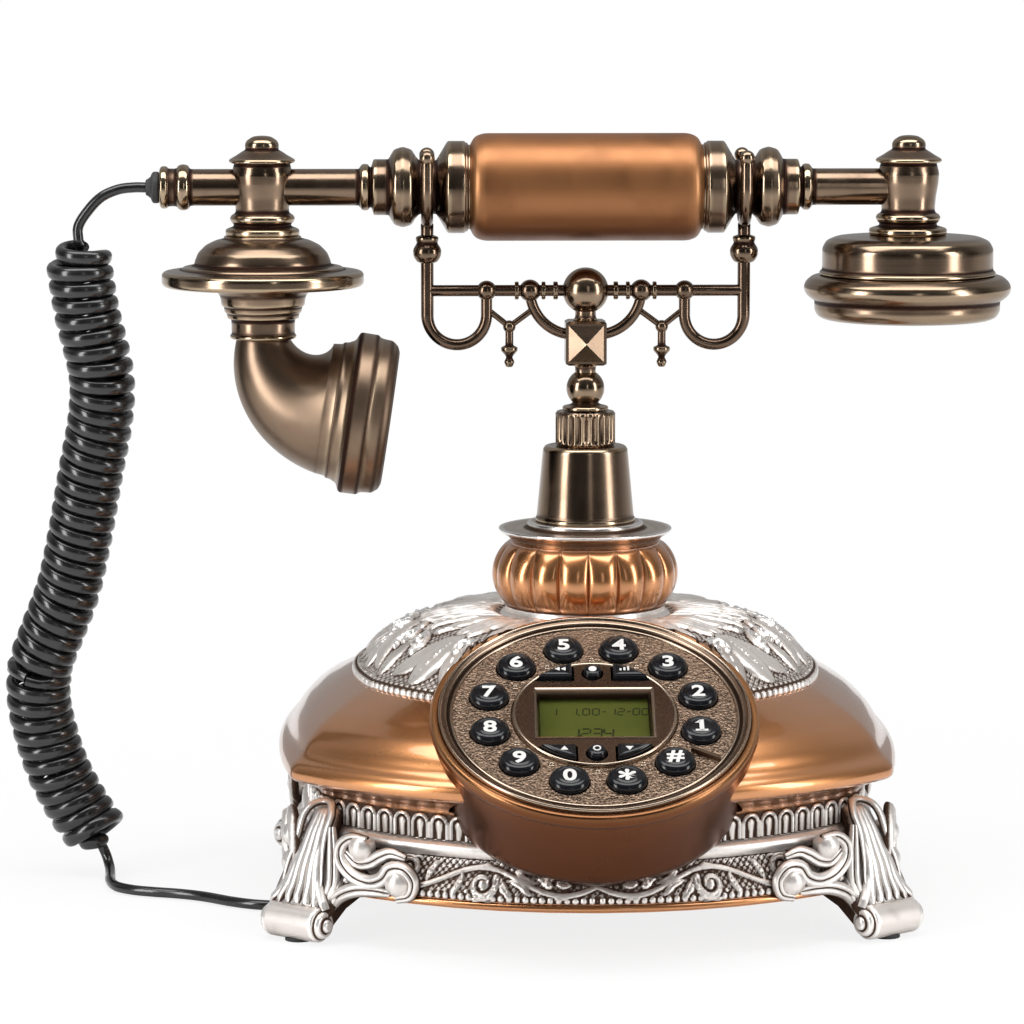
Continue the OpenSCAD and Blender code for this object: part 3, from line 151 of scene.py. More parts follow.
def tilted(origin: Triple, degrees: float) -> Place:
    """Axes turned about X, so that what faced up looks to the front as well."""
    c, s = math.cos(math.radians(degrees)), math.sin(math.radians(degrees))
    return Place(origin, (1, 0, 0), (0, c, s), (0, -s, c))


DIAL = tilted((0, -71.5, 66.7), DIAL_TILT)


@dataclass(frozen=True)
class Form:
    """A closed surface as whole arrays: corners, four-sided and three-sided faces, and relief from 0 to 1."""

    verts: Array
    quads: Array
    tris: Array
    relief: Array

    def __add__(self, other: "Form") -> "Form":
        """Both forms as one."""
        n = len(self.verts)
        return Form(
            np.vstack([self.verts, other.verts]),
            np.vstack([self.quads, other.quads + n]),
            np.vstack([self.tris, other.tris + n]),
            np.concatenate([self.relief, other.relief]),
        )

    def mirrored(self, axis: int) -> "Form":
        """The form on the other side, with its faces turned to point outwards."""
        verts = self.verts.copy()
        verts[:, axis] *= -1
        return Form(verts, self.quads[:, ::-1], self.tris[:, ::-1], self.relief)

    def both(self, axis: int) -> "Form":
        """The form and its mirror image."""
        return self + self.mirrored(axis)

    def put(self, place: Place) -> "Form":
        """The form carried into a frame of axes."""
        return replace(self, verts=place.put(self.verts))

    def outward(self) -> "Form":
        """Turns the faces round where the volume inside comes out negative."""
        t = np.vstack([self.tris, self.quads[:, [0, 1, 2]], self.quads[:, [0, 2, 3]]])
        a, b, c = (self.verts[t[:, k]] for k in range(3))
        if (a * np.cross(b, c)).sum() >= 0:
            return self
        return Form(self.verts, self.quads[:, ::-1], self.tris[:, ::-1], self.relief)


def angles(count: int) -> Array:
    """Even steps round a full turn."""
    return np.linspace(0, TAU, count, endpoint=False)


def around(r: Array, z: Array, sides: int) -> Array:
    """Rows of points round the Z axis: r cos a, r sin a and z at even steps of the angle a."""
    a = angles(sides)[None]
    return np.stack([r * np.cos(a), r * np.sin(a), z + 0 * a], axis=-1)


def at_height(outline: Array, z: float) -> Array:
    """A flat outline carried to a height."""
    return np.column_stack([outline, np.full(len(outline), z)])


def skin(grid: Array, relief: Array | None = None, ring: bool = False) -> Form:
    """A closed form through rows of points that each run round it.

    Args:
        grid: Rows, points of a row, and three places.
        relief: The relief at each point, or 0.5 all over.
        ring: Whether the last row joins the first; otherwise each end is closed at the middle of its row.
    Returns:
        The form, with its faces outwards.
    """
    m, n, _ = grid.shape
    relief = np.full((m, n), 0.5) if relief is None else np.broadcast_to(relief, (m, n))
    i, j = np.meshgrid(np.arange(m if ring else m - 1), np.arange(n), indexing="ij")
    i2, j2 = (i + 1) % m, (j + 1) % n
    quads = np.stack([i * n + j, i * n + j2, i2 * n + j2, i2 * n + j], axis=-1).reshape(-1, 4)
    verts, height = grid.reshape(-1, 3), relief.reshape(-1)
    tris = np.zeros((0, 3), int)
    if not ring:
        verts = np.vstack([verts, grid[0].mean(axis=0), grid[-1].mean(axis=0)])
        height = np.concatenate([height, [relief[0].mean(), relief[-1].mean()]])
        k, k2 = np.arange(n), (np.arange(n) + 1) % n
        low = np.stack([np.full(n, m * n), k2, k], axis=1)
        high = np.stack([np.full(n, m * n + 1), (m - 1) * n + k, (m - 1) * n + k2], axis=1)
        tris = np.vstack([low, high])
    return Form(verts, quads, tris, height).outward()


def turned(profile: list, place: Place = Place(), sides: int = 96, soft: float = 0.5,
        ring: bool = False) -> Form:
    """A form turned about an axis: the section's radius sets the circle, its height the place along the axis.

    Args:
        profile: [radius, height] corners up the section, or round it where it is a ring.
        place: The axes, of which the third is the axis of turning.
        sides: Points round the form.
        soft: How much of each edge a corner's rounding may take.
        ring: Whether the section is closed on itself.
    Returns:
        The turned form with its edges brighter and its grooves darker in relief.
    """
    corners = np.asarray(profile, float)
    if ring:
        corners = np.vstack([corners, corners[:1]])
    area = (corners[:-1, 0] * corners[1:, 1] - corners[1:, 0] * corners[:-1, 1]).sum()
    closing = 0 if ring else corners[-1, 0] * corners[0, 1] - corners[0, 0] * corners[-1, 1]
    corners = corners if area + closing > 0 else corners[::-1]
    line = dense(fillet(corners, soft), 1.2)
    height = edge_relief(line)
    if ring:
        line, height = line[:-1], height[:-1]
    else:
        inside = line[:, 0] > 1e-6
        line, height = line[inside], height[inside]
    return skin(place.put(around(line[:, :1], line[:, 1:], sides)), height[:, None], ring)


def slab(outline: Array, low: float, high: float) -> Form:
    """A plate over a flat outline, between two heights."""
    return skin(np.stack([at_height(outline, low), at_height(outline, high)]))


def swept(path: Array, radius: Array | float, up: Array, sides: int = 16, flat: float = 1.0,
        relief: float = 0.5) -> Form:
    """A tube about a path: each section is an ellipse square to the path, closed by a rounded end.

    Args:
        path: Points along the middle.
        radius: Radius at each point, or one for all.
        up: A direction, or one for each point, that the sections keep.
        sides: Points round a section.
        flat: Share of the radius that the section has along up.
        relief: The relief all over.
    Returns:
        The tube.
    """
    path = np.asarray(path, float)
    r = np.broadcast_to(np.asarray(radius, float), (len(path),))
    t = unit(np.gradient(path, axis=0))
    path = np.vstack([path[0] - t[0] * r[0] * 0.35, path, path[-1] + t[-1] * r[-1] * 0.35])
    r = np.concatenate([[r[0] * 0.7], r, [r[-1] * 0.7]])
    t = np.vstack([t[:1], t, t[-1:]])
    up = np.broadcast_to(np.asarray(up, float), (len(path) - 2, 3))
    up = np.vstack([up[:1], up, up[-1:]])
    side = unit(np.cross(t, up))
    up = np.cross(side, t)
    a = angles(sides)[None, :, None]
    round_path = np.cos(a) * side[:, None] + flat * np.sin(a) * up[:, None]
    return skin(path[:, None] + r[:, None, None] * round_path, np.full((len(path), sides), relief))


def ball(centre: Triple, r: float, sides: int = 48, squash: float = 1.0) -> Form:
    """A sphere, or one squashed along Z."""
    a = np.linspace(-math.pi / 2, math.pi / 2, 25)
    line = np.stack([r * np.cos(a), r * squash * np.sin(a)], axis=1)[1:-1]
    grid = around(line[:, :1], line[:, 1:], sides) + np.asarray(centre)
    return skin(grid, np.full((len(line), sides), 0.62))


def merged(forms: list[Form]) -> Form:
    """Several forms as one."""
    total = forms[0]
    for form in forms[1:]:
        total = total + form
    return total


def make_object(name: str, form: Form, sharp: float = SHARP_ANGLE) -> Piece:
    """Writes a form's arrays into a mesh object at the origin.

    Args:
        name: The object's name.
        form: The surface in millimetres.
        sharp: Angle in degrees past which an edge stays crisp.
    Returns:
        The object, linked to the scene.
    """
    corners = np.concatenate([form.quads.ravel(), form.tris.ravel()]).astype(np.int32)
    quads, tris = len(form.quads), len(form.tris)
    starts = np.concatenate([np.arange(quads) * 4, quads * 4 + np.arange(tris) * 3]).astype(np.int32)
    mesh = bpy.data.meshes.new(name)
    mesh.vertices.add(len(form.verts))
    mesh.vertices.foreach_set("co", (form.verts * MM).astype(np.float32).ravel())
    mesh.loops.add(len(corners))
    mesh.loops.foreach_set("vertex_index", corners)
    mesh.polygons.add(len(starts))
    mesh.polygons.foreach_set("loop_start", starts)
    mesh.update(calc_edges=True)
    mesh.attributes.new("relief", "FLOAT", "POINT").data.foreach_set("value", form.relief.astype(np.float32))
    mesh.shade_smooth()
    mesh.set_sharp_from_angle(angle=math.radians(sharp))
    piece = bpy.data.objects.new(name, mesh)
    bpy.context.scene.collection.objects.link(piece)
    return piece


def open_room(piece: Piece, room: Form) -> None:
    """Cuts a closed form out of a closed piece."""
    cutter = make_object("room", room)
    cut = piece.modifiers.new("room", "BOOLEAN")
    cut.operation, cut.object, cut.solver = "DIFFERENCE", cutter, "MANIFOLD"
    mesh = bpy.data.meshes.new_from_object(piece.evaluated_get(bpy.context.evaluated_depsgraph_get()))
    piece.modifiers.clear()
    old, piece.data = piece.data, mesh
    bpy.data.meshes.remove(old)
    bpy.data.objects.remove(cutter)
    mesh.name = piece.name
    mesh.shade_smooth()
    mesh.set_sharp_from_angle(angle=math.radians(SHARP_ANGLE))


def enter(piece: Piece, body: str, finish: "Finish", stands_for: str = "") -> None:
    """Gives a piece its finish, body and material slot, hides the CAD node it stands for, and logs it."""
    piece.data.materials.clear()
    piece.data.materials.append(finish.material())
    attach(piece, body)
    if stands_for:
        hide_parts(stands_for)
    log.info("%s: %d faces, rides on %s", piece.name, len(piece.data.polygons), body)


# ---- Finishes ----


class Graph:
    """A node tree being laid out."""

    def __init__(self, tree: bpy.types.NodeTree) -> None:
        """Empties the tree."""
        self.tree = tree
        tree.nodes.clear()

    def add(self, kind: str, inputs: dict | None = None, **settings: object) -> Node:
        """Adds a node.

        Args:
            kind: The node's type name.
            inputs: Values or sockets for its inputs, by name or number.
            settings: Properties of the node itself.
        Returns:
            The node.
        """
        node = self.tree.nodes.new(kind)
        for key, value in settings.items():
            setattr(node, key, value)
        self.feed(node, inputs or {})
        return node

    def feed(self, node: Node, inputs: dict) -> None:
        """Gives a node's inputs their values, or links them to sockets."""
        for key, value in inputs.items():
            if isinstance(value, Socket):
                self.tree.links.new(value, node.inputs[key])
            else:
                node.inputs[key].default_value = value

    def math(self, operation: str, a: object, b: object = 0.0, clamp: bool = False) -> Socket:
        """The result of an operation on two values."""
        return self.add("ShaderNodeMath", {0: a, 1: b}, operation=operation, use_clamp=clamp).outputs[0]

    def plus(self, a: object, b: object, clamp: bool = False) -> Socket:
        """The sum of two values."""
        return self.math("ADD", a, b, clamp)

    def times(self, a: object, b: object, clamp: bool = False) -> Socket:
        """The product of two values."""
        return self.math("MULTIPLY", a, b, clamp)

    def place(self) -> Socket:
        """The place in the object's own axes."""
        return self.add("ShaderNodeTexCoord").outputs["Object"]

    def step(self, value: object, low: float, high: float, to: float = 1.0, start: float = 0.0) -> Socket:
        """A smooth rise from start to another value as the input goes from low to high."""
        inputs = {"Value": value, "From Min": low, "From Max": high, "To Min": start, "To Max": to}
        return self.add("ShaderNodeMapRange", inputs, interpolation_type="SMOOTHSTEP").outputs[0]

    def mix(self, share: object, a: object, b: object) -> Socket:
        """A colour between two colours."""
        return self.add("ShaderNodeMix", {0: share, 6: a, 7: b}, data_type="RGBA").outputs[2]

    def noise(self, vector: object, scale: object, detail: float = 3, rough: float = 0.55) -> Socket:
        """A value of fractal noise at a place."""
        inputs = {"Vector": vector, "Scale": scale, "Detail": detail, "Roughness": rough}
        return self.add("ShaderNodeTexNoise", inputs).outputs[0]


def start_group(name: str, given: dict, results: dict) -> tuple[Graph, bpy.types.NodeOutputs, Node]:
    """Starts a shader node group with named sockets.

    Args:
        name: The group's name.
        given: Type of each input, by its name.
        results: Type of each output, by its name.
    Returns:
        The group's graph, the sockets that bring its inputs and its output node.
    """
    tree = bpy.data.node_groups.new(name, "ShaderNodeTree")
    for way, sockets in (("INPUT", given), ("OUTPUT", results)):
        for label, kind in sockets.items():
            tree.interface.new_socket(label, in_out=way, socket_type="NodeSocket" + kind)
    graph = Graph(tree)
    return graph, graph.add("NodeGroupInput").outputs, graph.add("NodeGroupOutput")


def patina_group() -> bpy.types.NodeTree:
    """Antique metal: dark in the grooves, bright on the worn edges, mottled in between."""
    name = "antique_patina"
    if name in bpy.data.node_groups:
        return bpy.data.node_groups[name]
    given = {"Vector": "Vector", "Relief": "Float", "Body": "Color", "Bright": "Color", "Recess": "Color"}
    given |= dict.fromkeys(("Grime", "Polish", "Rough", "Mottle"), "Float")
    g, given, out = start_group(name, given, {"Color": "Color", "Roughness": "Float", "Height": "Float"})
    fine = g.noise(given["Vector"], 900.0, 4)
    broad = g.noise(given["Vector"], 55.0, 3)
    stir = g.times(g.math("SUBTRACT", g.plus(fine, broad), 1.0), given["Mottle"])
    worn = g.plus(given["Relief"], stir)
    dark = g.times(g.step(worn, 0.47, 0.2), given["Grime"], True)
    light = g.times(g.step(worn, 0.53, 0.8), given["Polish"], True)
    smoke = g.times(g.step(broad, 0.5, 0.75), g.times(given["Grime"], 0.4))
    colour = g.mix(smoke, given["Body"], given["Recess"])
    colour = g.mix(dark, colour, given["Recess"])
    colour = g.mix(light, colour, given["Bright"])
    rough = g.plus(given["Rough"], g.times(g.math("SUBTRACT", fine, 0.5), given["Mottle"]))
    rough = g.plus(rough, g.times(dark, 0.3))
    rough = g.math("SUBTRACT", rough, g.times(light, 0.08), True)
    g.feed(out, {"Color": colour, "Roughness": rough, "Height": fine})
    return g.tree


def brush_group() -> bpy.types.NodeTree:
    """Fine brushed lines: noise stretched along one way, as a height and a mask."""
    name = "brushed_lines"
    if name in bpy.data.node_groups:
        return bpy.data.node_groups[name]
    given, results = {"Vector": "Vector", "Stretch": "Vector"}, {"Height": "Float", "Mask": "Float"}
    g, given, out = start_group(name, given, results)
    stretched = {0: given["Vector"], 1: given["Stretch"]}
    place = g.add("ShaderNodeVectorMath", stretched, operation="MULTIPLY").outputs[0]
    fine = g.noise(place, 1.0, 3, 0.7)
    wide = g.noise(place, 0.16, 2, 0.5)
    g.feed(out, {"Height": g.plus(fine, g.times(wide, 0.5)), "Mask": g.step(wide, 0.35, 0.65)})
    return g.tree


def stipple_group() -> bpy.types.NodeTree:
    """A cast, pebbled ground: the edges of small cells with finer noise over them."""
    name = "pebbled_ground"
    if name in bpy.data.node_groups:
        return bpy.data.node_groups[name]
    given, results = {"Vector": "Vector", "Scale": "Float"}, {"Height": "Float", "Mask": "Float"}
    g, given, out = start_group(name, given, results)
    bent = g.add("ShaderNodeTexNoise", {"Vector": given["Vector"], "Scale": 500.0, "Detail": 2.0})
    reach = 1.6 * MM
    shift = {0: bent.outputs["Color"], 1: (reach, reach, reach)}
    shift = g.add("ShaderNodeVectorMath", shift, operation="MULTIPLY").outputs[0]
    place = g.add("ShaderNodeVectorMath", {0: given["Vector"], 1: shift}, operation="ADD").outputs[0]
    cells = g.add("ShaderNodeTexVoronoi", {"Vector": place, "Scale": given["Scale"]})
    worms = g.noise(place, 750.0, 3)
    height = g.plus(g.step(cells.outputs["Distance"], 0.1, 0.75), g.times(worms, 0.8))
    g.feed(out, {"Height": height, "Mask": g.step(height, 0.45, 0.95)})
    return g.tree


@dataclass(frozen=True)
class Finish:
    """A finish whose material is made once and shared by every piece that has it."""

    name: str

    def material(self) -> bpy.types.Material:
        """The material, made on first use."""
        if self.name in bpy.data.materials:
            return bpy.data.materials[self.name]
        material = bpy.data.materials.new(self.name)
        material.use_nodes = True
        graph = Graph(material.node_tree)
        out = graph.add("ShaderNodeOutputMaterial")
        shader = graph.add("ShaderNodeBsdfPrincipled")
        graph.tree.links.new(shader.outputs[0], out.inputs[0])
        self.dress(graph, shader)
        return material

    def dress(self, graph: Graph, shader: Node) -> None:
        """Sets the shader's colours, gloss and bump."""


@dataclass(frozen=True)
class Metal(Finish):
    """Plated or lacquered cast metal with an antique patina and fine brushed lines, and painted shade
    darkening its lower part where shade is set.
    """

    body: Triple = (0.5, 0.5, 0.5)
    bright: Triple = (0.8, 0.8, 0.8)
    recess: Triple = (0.1, 0.1, 0.1)
    rough: float = 0.3
    grime: float = 1.0
    polish: float = 0.8
    brush: Triple = (60, 60, 60)
    brush_depth: float = 0.02
    cast: float = 0.004
    mottle: float = 0.08
    # shade: height in mm where the painted shade is full, height where it ends, and its share; a share of 0
    # paints none
    shade: Triple = (-20, -10, 0)
    coat: float = 0.0
    metallic: float = 1.0
    shaped: bool = True

    def dress(self, graph: Graph, shader: Node) -> None:
        """Feeds the patina's colour (darkened lower down by painted shade), its roughness and the lines' bump
        to the shader.
        """
        place = graph.place()
        relief = 0.5
        if self.shaped:
            relief = graph.add("ShaderNodeAttribute", attribute_name="relief").outputs["Fac"]
        given = {"Vector": place, "Relief": relief, "Grime": self.grime, "Polish": self.polish}
        given |= {"Rough": self.rough, "Mottle": self.mottle}
        given |= {"Body": (*self.body, 1), "Bright": (*self.bright, 1), "Recess": (*self.recess, 1)}
        patina = graph.add("ShaderNodeGroup", given, node_tree=patina_group())
        lines = {"Vector": place, "Stretch": self.brush}
        brush = graph.add("ShaderNodeGroup", lines, node_tree=brush_group())
        height = graph.times(brush.outputs["Height"], self.brush_depth)
        height = graph.plus(height, graph.times(patina.outputs["Height"], self.cast))
        bump = graph.add("ShaderNodeBump", {"Height": height, "Strength": 0.6, "Distance": 1 * MM})
        colour = patina.outputs["Color"]
        # Painted shade: lower down the piece the colour is mixed towards the recess colour. This stands for
        # shade and dark floor reflections below it.
        low, high, share = self.shade
        if share:
            level = graph.add("ShaderNodeSeparateXYZ", {0: place}).outputs[2]
            painted_shade_low = graph.times(graph.step(level, high * MM, low * MM), share)
            colour = graph.mix(painted_shade_low, colour, (*self.recess, 1))
        graph.feed(shader, {
            "Base Color": colour,
            "Roughness": graph.plus(patina.outputs["Roughness"], graph.times(brush.outputs["Mask"], 0.07)),
            "Normal": bump.outputs[0],
            "Metallic": self.metallic,
            "Coat Weight": self.coat,
            "Coat Roughness": 0.07,
        })


@dataclass(frozen=True)
class Plain(Finish):
    """Plastic, rubber, enamel or board: one colour with a faint mottle and a moulded grain."""

    colour: Triple = (0.5, 0.5, 0.5)
    other: Triple = (0.4, 0.4, 0.4)
    rough: float = 0.4
    mottle: float = 80.0
    grain: float = 1500.0
    depth: float = 0.02
    metallic: float = 0.0
    coat: float = 0.0
    gloss: float = 0.5
    alpha: float = 1.0

    def dress(self, graph: Graph, shader: Node) -> None:
        """Feeds the mottled colour, its roughness and the grain to the shader."""
        place = graph.place()
        broad = graph.noise(place, self.mottle, 3)
        fine = graph.noise(place, self.grain, 2)
        colour = graph.mix(graph.step(broad, 0.35, 0.7), (*self.colour, 1), (*self.other, 1))
        moulded = {"Height": fine, "Strength": self.depth * 10, "Distance": 0.2 * MM}
        graph.feed(shader, {
            "Base Color": colour,
            "Roughness": graph.plus(graph.times(graph.plus(fine, broad), 0.1), self.rough - 0.1, True),
            "Normal": graph.add("ShaderNodeBump", moulded).outputs[0],
            "Metallic": self.metallic,
            "Coat Weight": self.coat,
            "Coat Roughness": 0.05,
            "Specular IOR Level": self.gloss,
            "Alpha": self.alpha,
        })


@dataclass(frozen=True)
class DialPlate(Finish):
    """Nickel plate: a pebbled ground between the keys, with a smooth disc in the middle."""

    body: Triple = (0.15, 0.095, 0.064)
    bright: Triple = (0.4, 0.29, 0.21)
    recess: Triple = (0.035, 0.02, 0.013)
    smooth_r: float = 23.8

    def dress(self, graph: Graph, shader: Node) -> None:
        """Mixes the smooth and the pebbled metal by the distance from the dial's axis."""
        place = graph.place()
        centre = {0: place, 1: [value * MM for value in DIAL.origin]}
        middle = graph.add("ShaderNodeVectorMath", centre, operation="SUBTRACT").outputs[0]
        out = graph.add("ShaderNodeVectorMath", {0: middle}, operation="LENGTH").outputs["Value"]
        pebbled = graph.step(out, self.smooth_r * MM, (self.smooth_r + 0.4) * MM)
        ground = {"Vector": place, "Scale": 1300.0}
        pebbles = graph.add("ShaderNodeGroup", ground, node_tree=stipple_group())
        colours = {"Body": (*self.body, 1), "Bright": (*self.bright, 1), "Recess": (*self.recess, 1)}
        worn = {"Relief": 0.5, "Grime": 0.6, "Polish": 0.7, "Rough": 0.26, "Mottle": 0.12}
        patina = graph.add("ShaderNodeGroup", {"Vector": place} | worn | colours, node_tree=patina_group())
        grain = graph.mix(pebbles.outputs["Mask"], colours["Recess"], colours["Bright"])
        height = graph.times(pebbles.outputs["Height"], pebbled)
        bump = graph.add("ShaderNodeBump", {"Height": height, "Strength": 0.6, "Distance": 0.4 * MM})
        graph.feed(shader, {
            "Base Color": graph.mix(graph.times(pebbled, 0.5), patina.outputs["Color"], grain),
            "Roughness": graph.plus(patina.outputs["Roughness"], graph.times(pebbled, 0.1)),
            "Normal": bump.outputs[0],
            "Metallic": 1.0,
        })


PLATE = DialPlate("nickel_dial_plate")
LATHE_X = (700, 25, 25)
LATHE_Z = (25, 25, 700)
DOWN_Z = (500, 500, 14)
BRONZE = dict(body=(0.22, 0.154, 0.107), bright=(0.54, 0.425, 0.285), recess=(0.03, 0.014, 0.01), rough=0.17,
    polish=0.5, mottle=0.05)
SILVER = dict(body=(0.74, 0.69, 0.65), bright=(0.96, 0.94, 0.92), recess=(0.07, 0.04, 0.026), rough=0.36,
    metallic=0.8)
COPPER = dict(body=(0.56, 0.245, 0.095), bright=(0.8, 0.46, 0.21), recess=(0.075, 0.024, 0.009), rough=0.24,
    metallic=0.94, mottle=0.012)
# BRONZE_X, COPPER_GRIP and COPPER_DRUM paint shade: through shade their colour grows darker towards the
# bottom of each piece
BRONZE_X = Metal("bronze_turned_along", brush=LATHE_X, shade=(205, 214, 0.45), **BRONZE)
BRONZE_Z = Metal("bronze_turned_upright", brush=LATHE_Z, **BRONZE)
BRONZE_CONE = Metal("bronze_brushed_cone", brush=DOWN_Z, brush_depth=0.03, **BRONZE)
BRONZE_HORN = Metal("bronze_spun_horn", brush=(160, 160, 160), brush_depth=0.008, **BRONZE | dict(rough=0.3))
SILVER_CAST = Metal("antique_silver_cast", cast=0.02, mottle=0.2, brush_depth=0.0, polish=1.0, **SILVER)
SILVER_RIM = Metal("antique_silver_rim", brush=LATHE_Z, **SILVER | dict(body=(0.5, 0.42, 0.36), rough=0.26,
        metallic=1.0))
COPPER_PAINT = Metal("copper_lacquer", grime=0.25, polish=0.0, coat=0.9, brush_depth=0.0, cast=0.001,
    **COPPER)
COPPER_GRIP = Metal("copper_lacquer_grip", grime=0.7, polish=0.4, coat=0.1, brush=LATHE_X, brush_depth=0.006,
    shade=(196, 212, 0.7), **COPPER | dict(body=(0.33, 0.142, 0.058), rough=0.4))
COPPER_DRUM = Metal("copper_lacquer_drum", grime=0.9, polish=0.4, coat=0.05, brush_depth=0.003, cast=0.002,
    shade=(38, 74, 0.92), **COPPER | dict(body=(0.42, 0.15, 0.05)))
COPPER_TRAY = Metal("copper_lacquer_tray", grime=0.5, coat=0.9, shaped=False, **COPPER)
NICKEL = dict(body=(0.17, 0.115, 0.08), bright=(0.5, 0.4, 0.31), recess=(0.03, 0.018, 0.012), rough=0.26)
BEZEL = Metal("dark_nickel_bezel", brush_depth=0.004, cast=0.004, **NICKEL)
BEZEL_PLAIN = Metal("dark_nickel_blade", shaped=False, **NICKEL)
STEEL = Metal("bright_steel", body=(0.5, 0.5, 0.49), bright=(0.8, 0.8, 0.8), recess=(0.15, 0.14, 0.13),
    shaped=False)
KEY_BLACK = Plain("black_key", (0.004, 0.0045, 0.006), (0.007, 0.0075, 0.009), 0.16, depth=0.0005, gloss=0.35)
KEY_WHITE = Plain("white_legend", (0.6, 0.59, 0.57), (0.54, 0.53, 0.51), 0.45, gloss=0.3)
CORD_BLACK = Plain("black_cord_jacket", (0.006, 0.006, 0.0065), (0.011, 0.0105, 0.0105), 0.24, 200.0, 900.0,
    0.002, coat=0.35)
RUBBER = Plain("moulded_rubber", (0.02, 0.02, 0.02), (0.035, 0.034, 0.033), 0.65, depth=0.06)
JACK = Plain("black_jack_plastic", (0.025, 0.025, 0.026), (0.035, 0.035, 0.035), 0.5)
BOARD = Plain("green_circuit_board", (0.015, 0.13, 0.045), (0.02, 0.17, 0.06), 0.4, 300.0)
DARK_STEEL = Plain("dark_transducer_steel", (0.1, 0.1, 0.11), (0.14, 0.14, 0.15), 0.4, metallic=0.8)
LCD_GREEN = Plain("display_panel_green", (0.07, 0.08, 0.014), (0.08, 0.09, 0.018), 0.7, 30.0, depth=0.001,
    gloss=0.05)
LCD_DARK = Plain("display_segments", (0.016, 0.019, 0.007), (0.018, 0.021, 0.008), 0.6, gloss=0.05)
LCD_GLASS = Plain("display_window_glass", (0.02, 0.026, 0.01), (0.024, 0.03, 0.012), 0.12, depth=0.0,
    gloss=0.3, alpha=0.05)


# ---- The studio ----


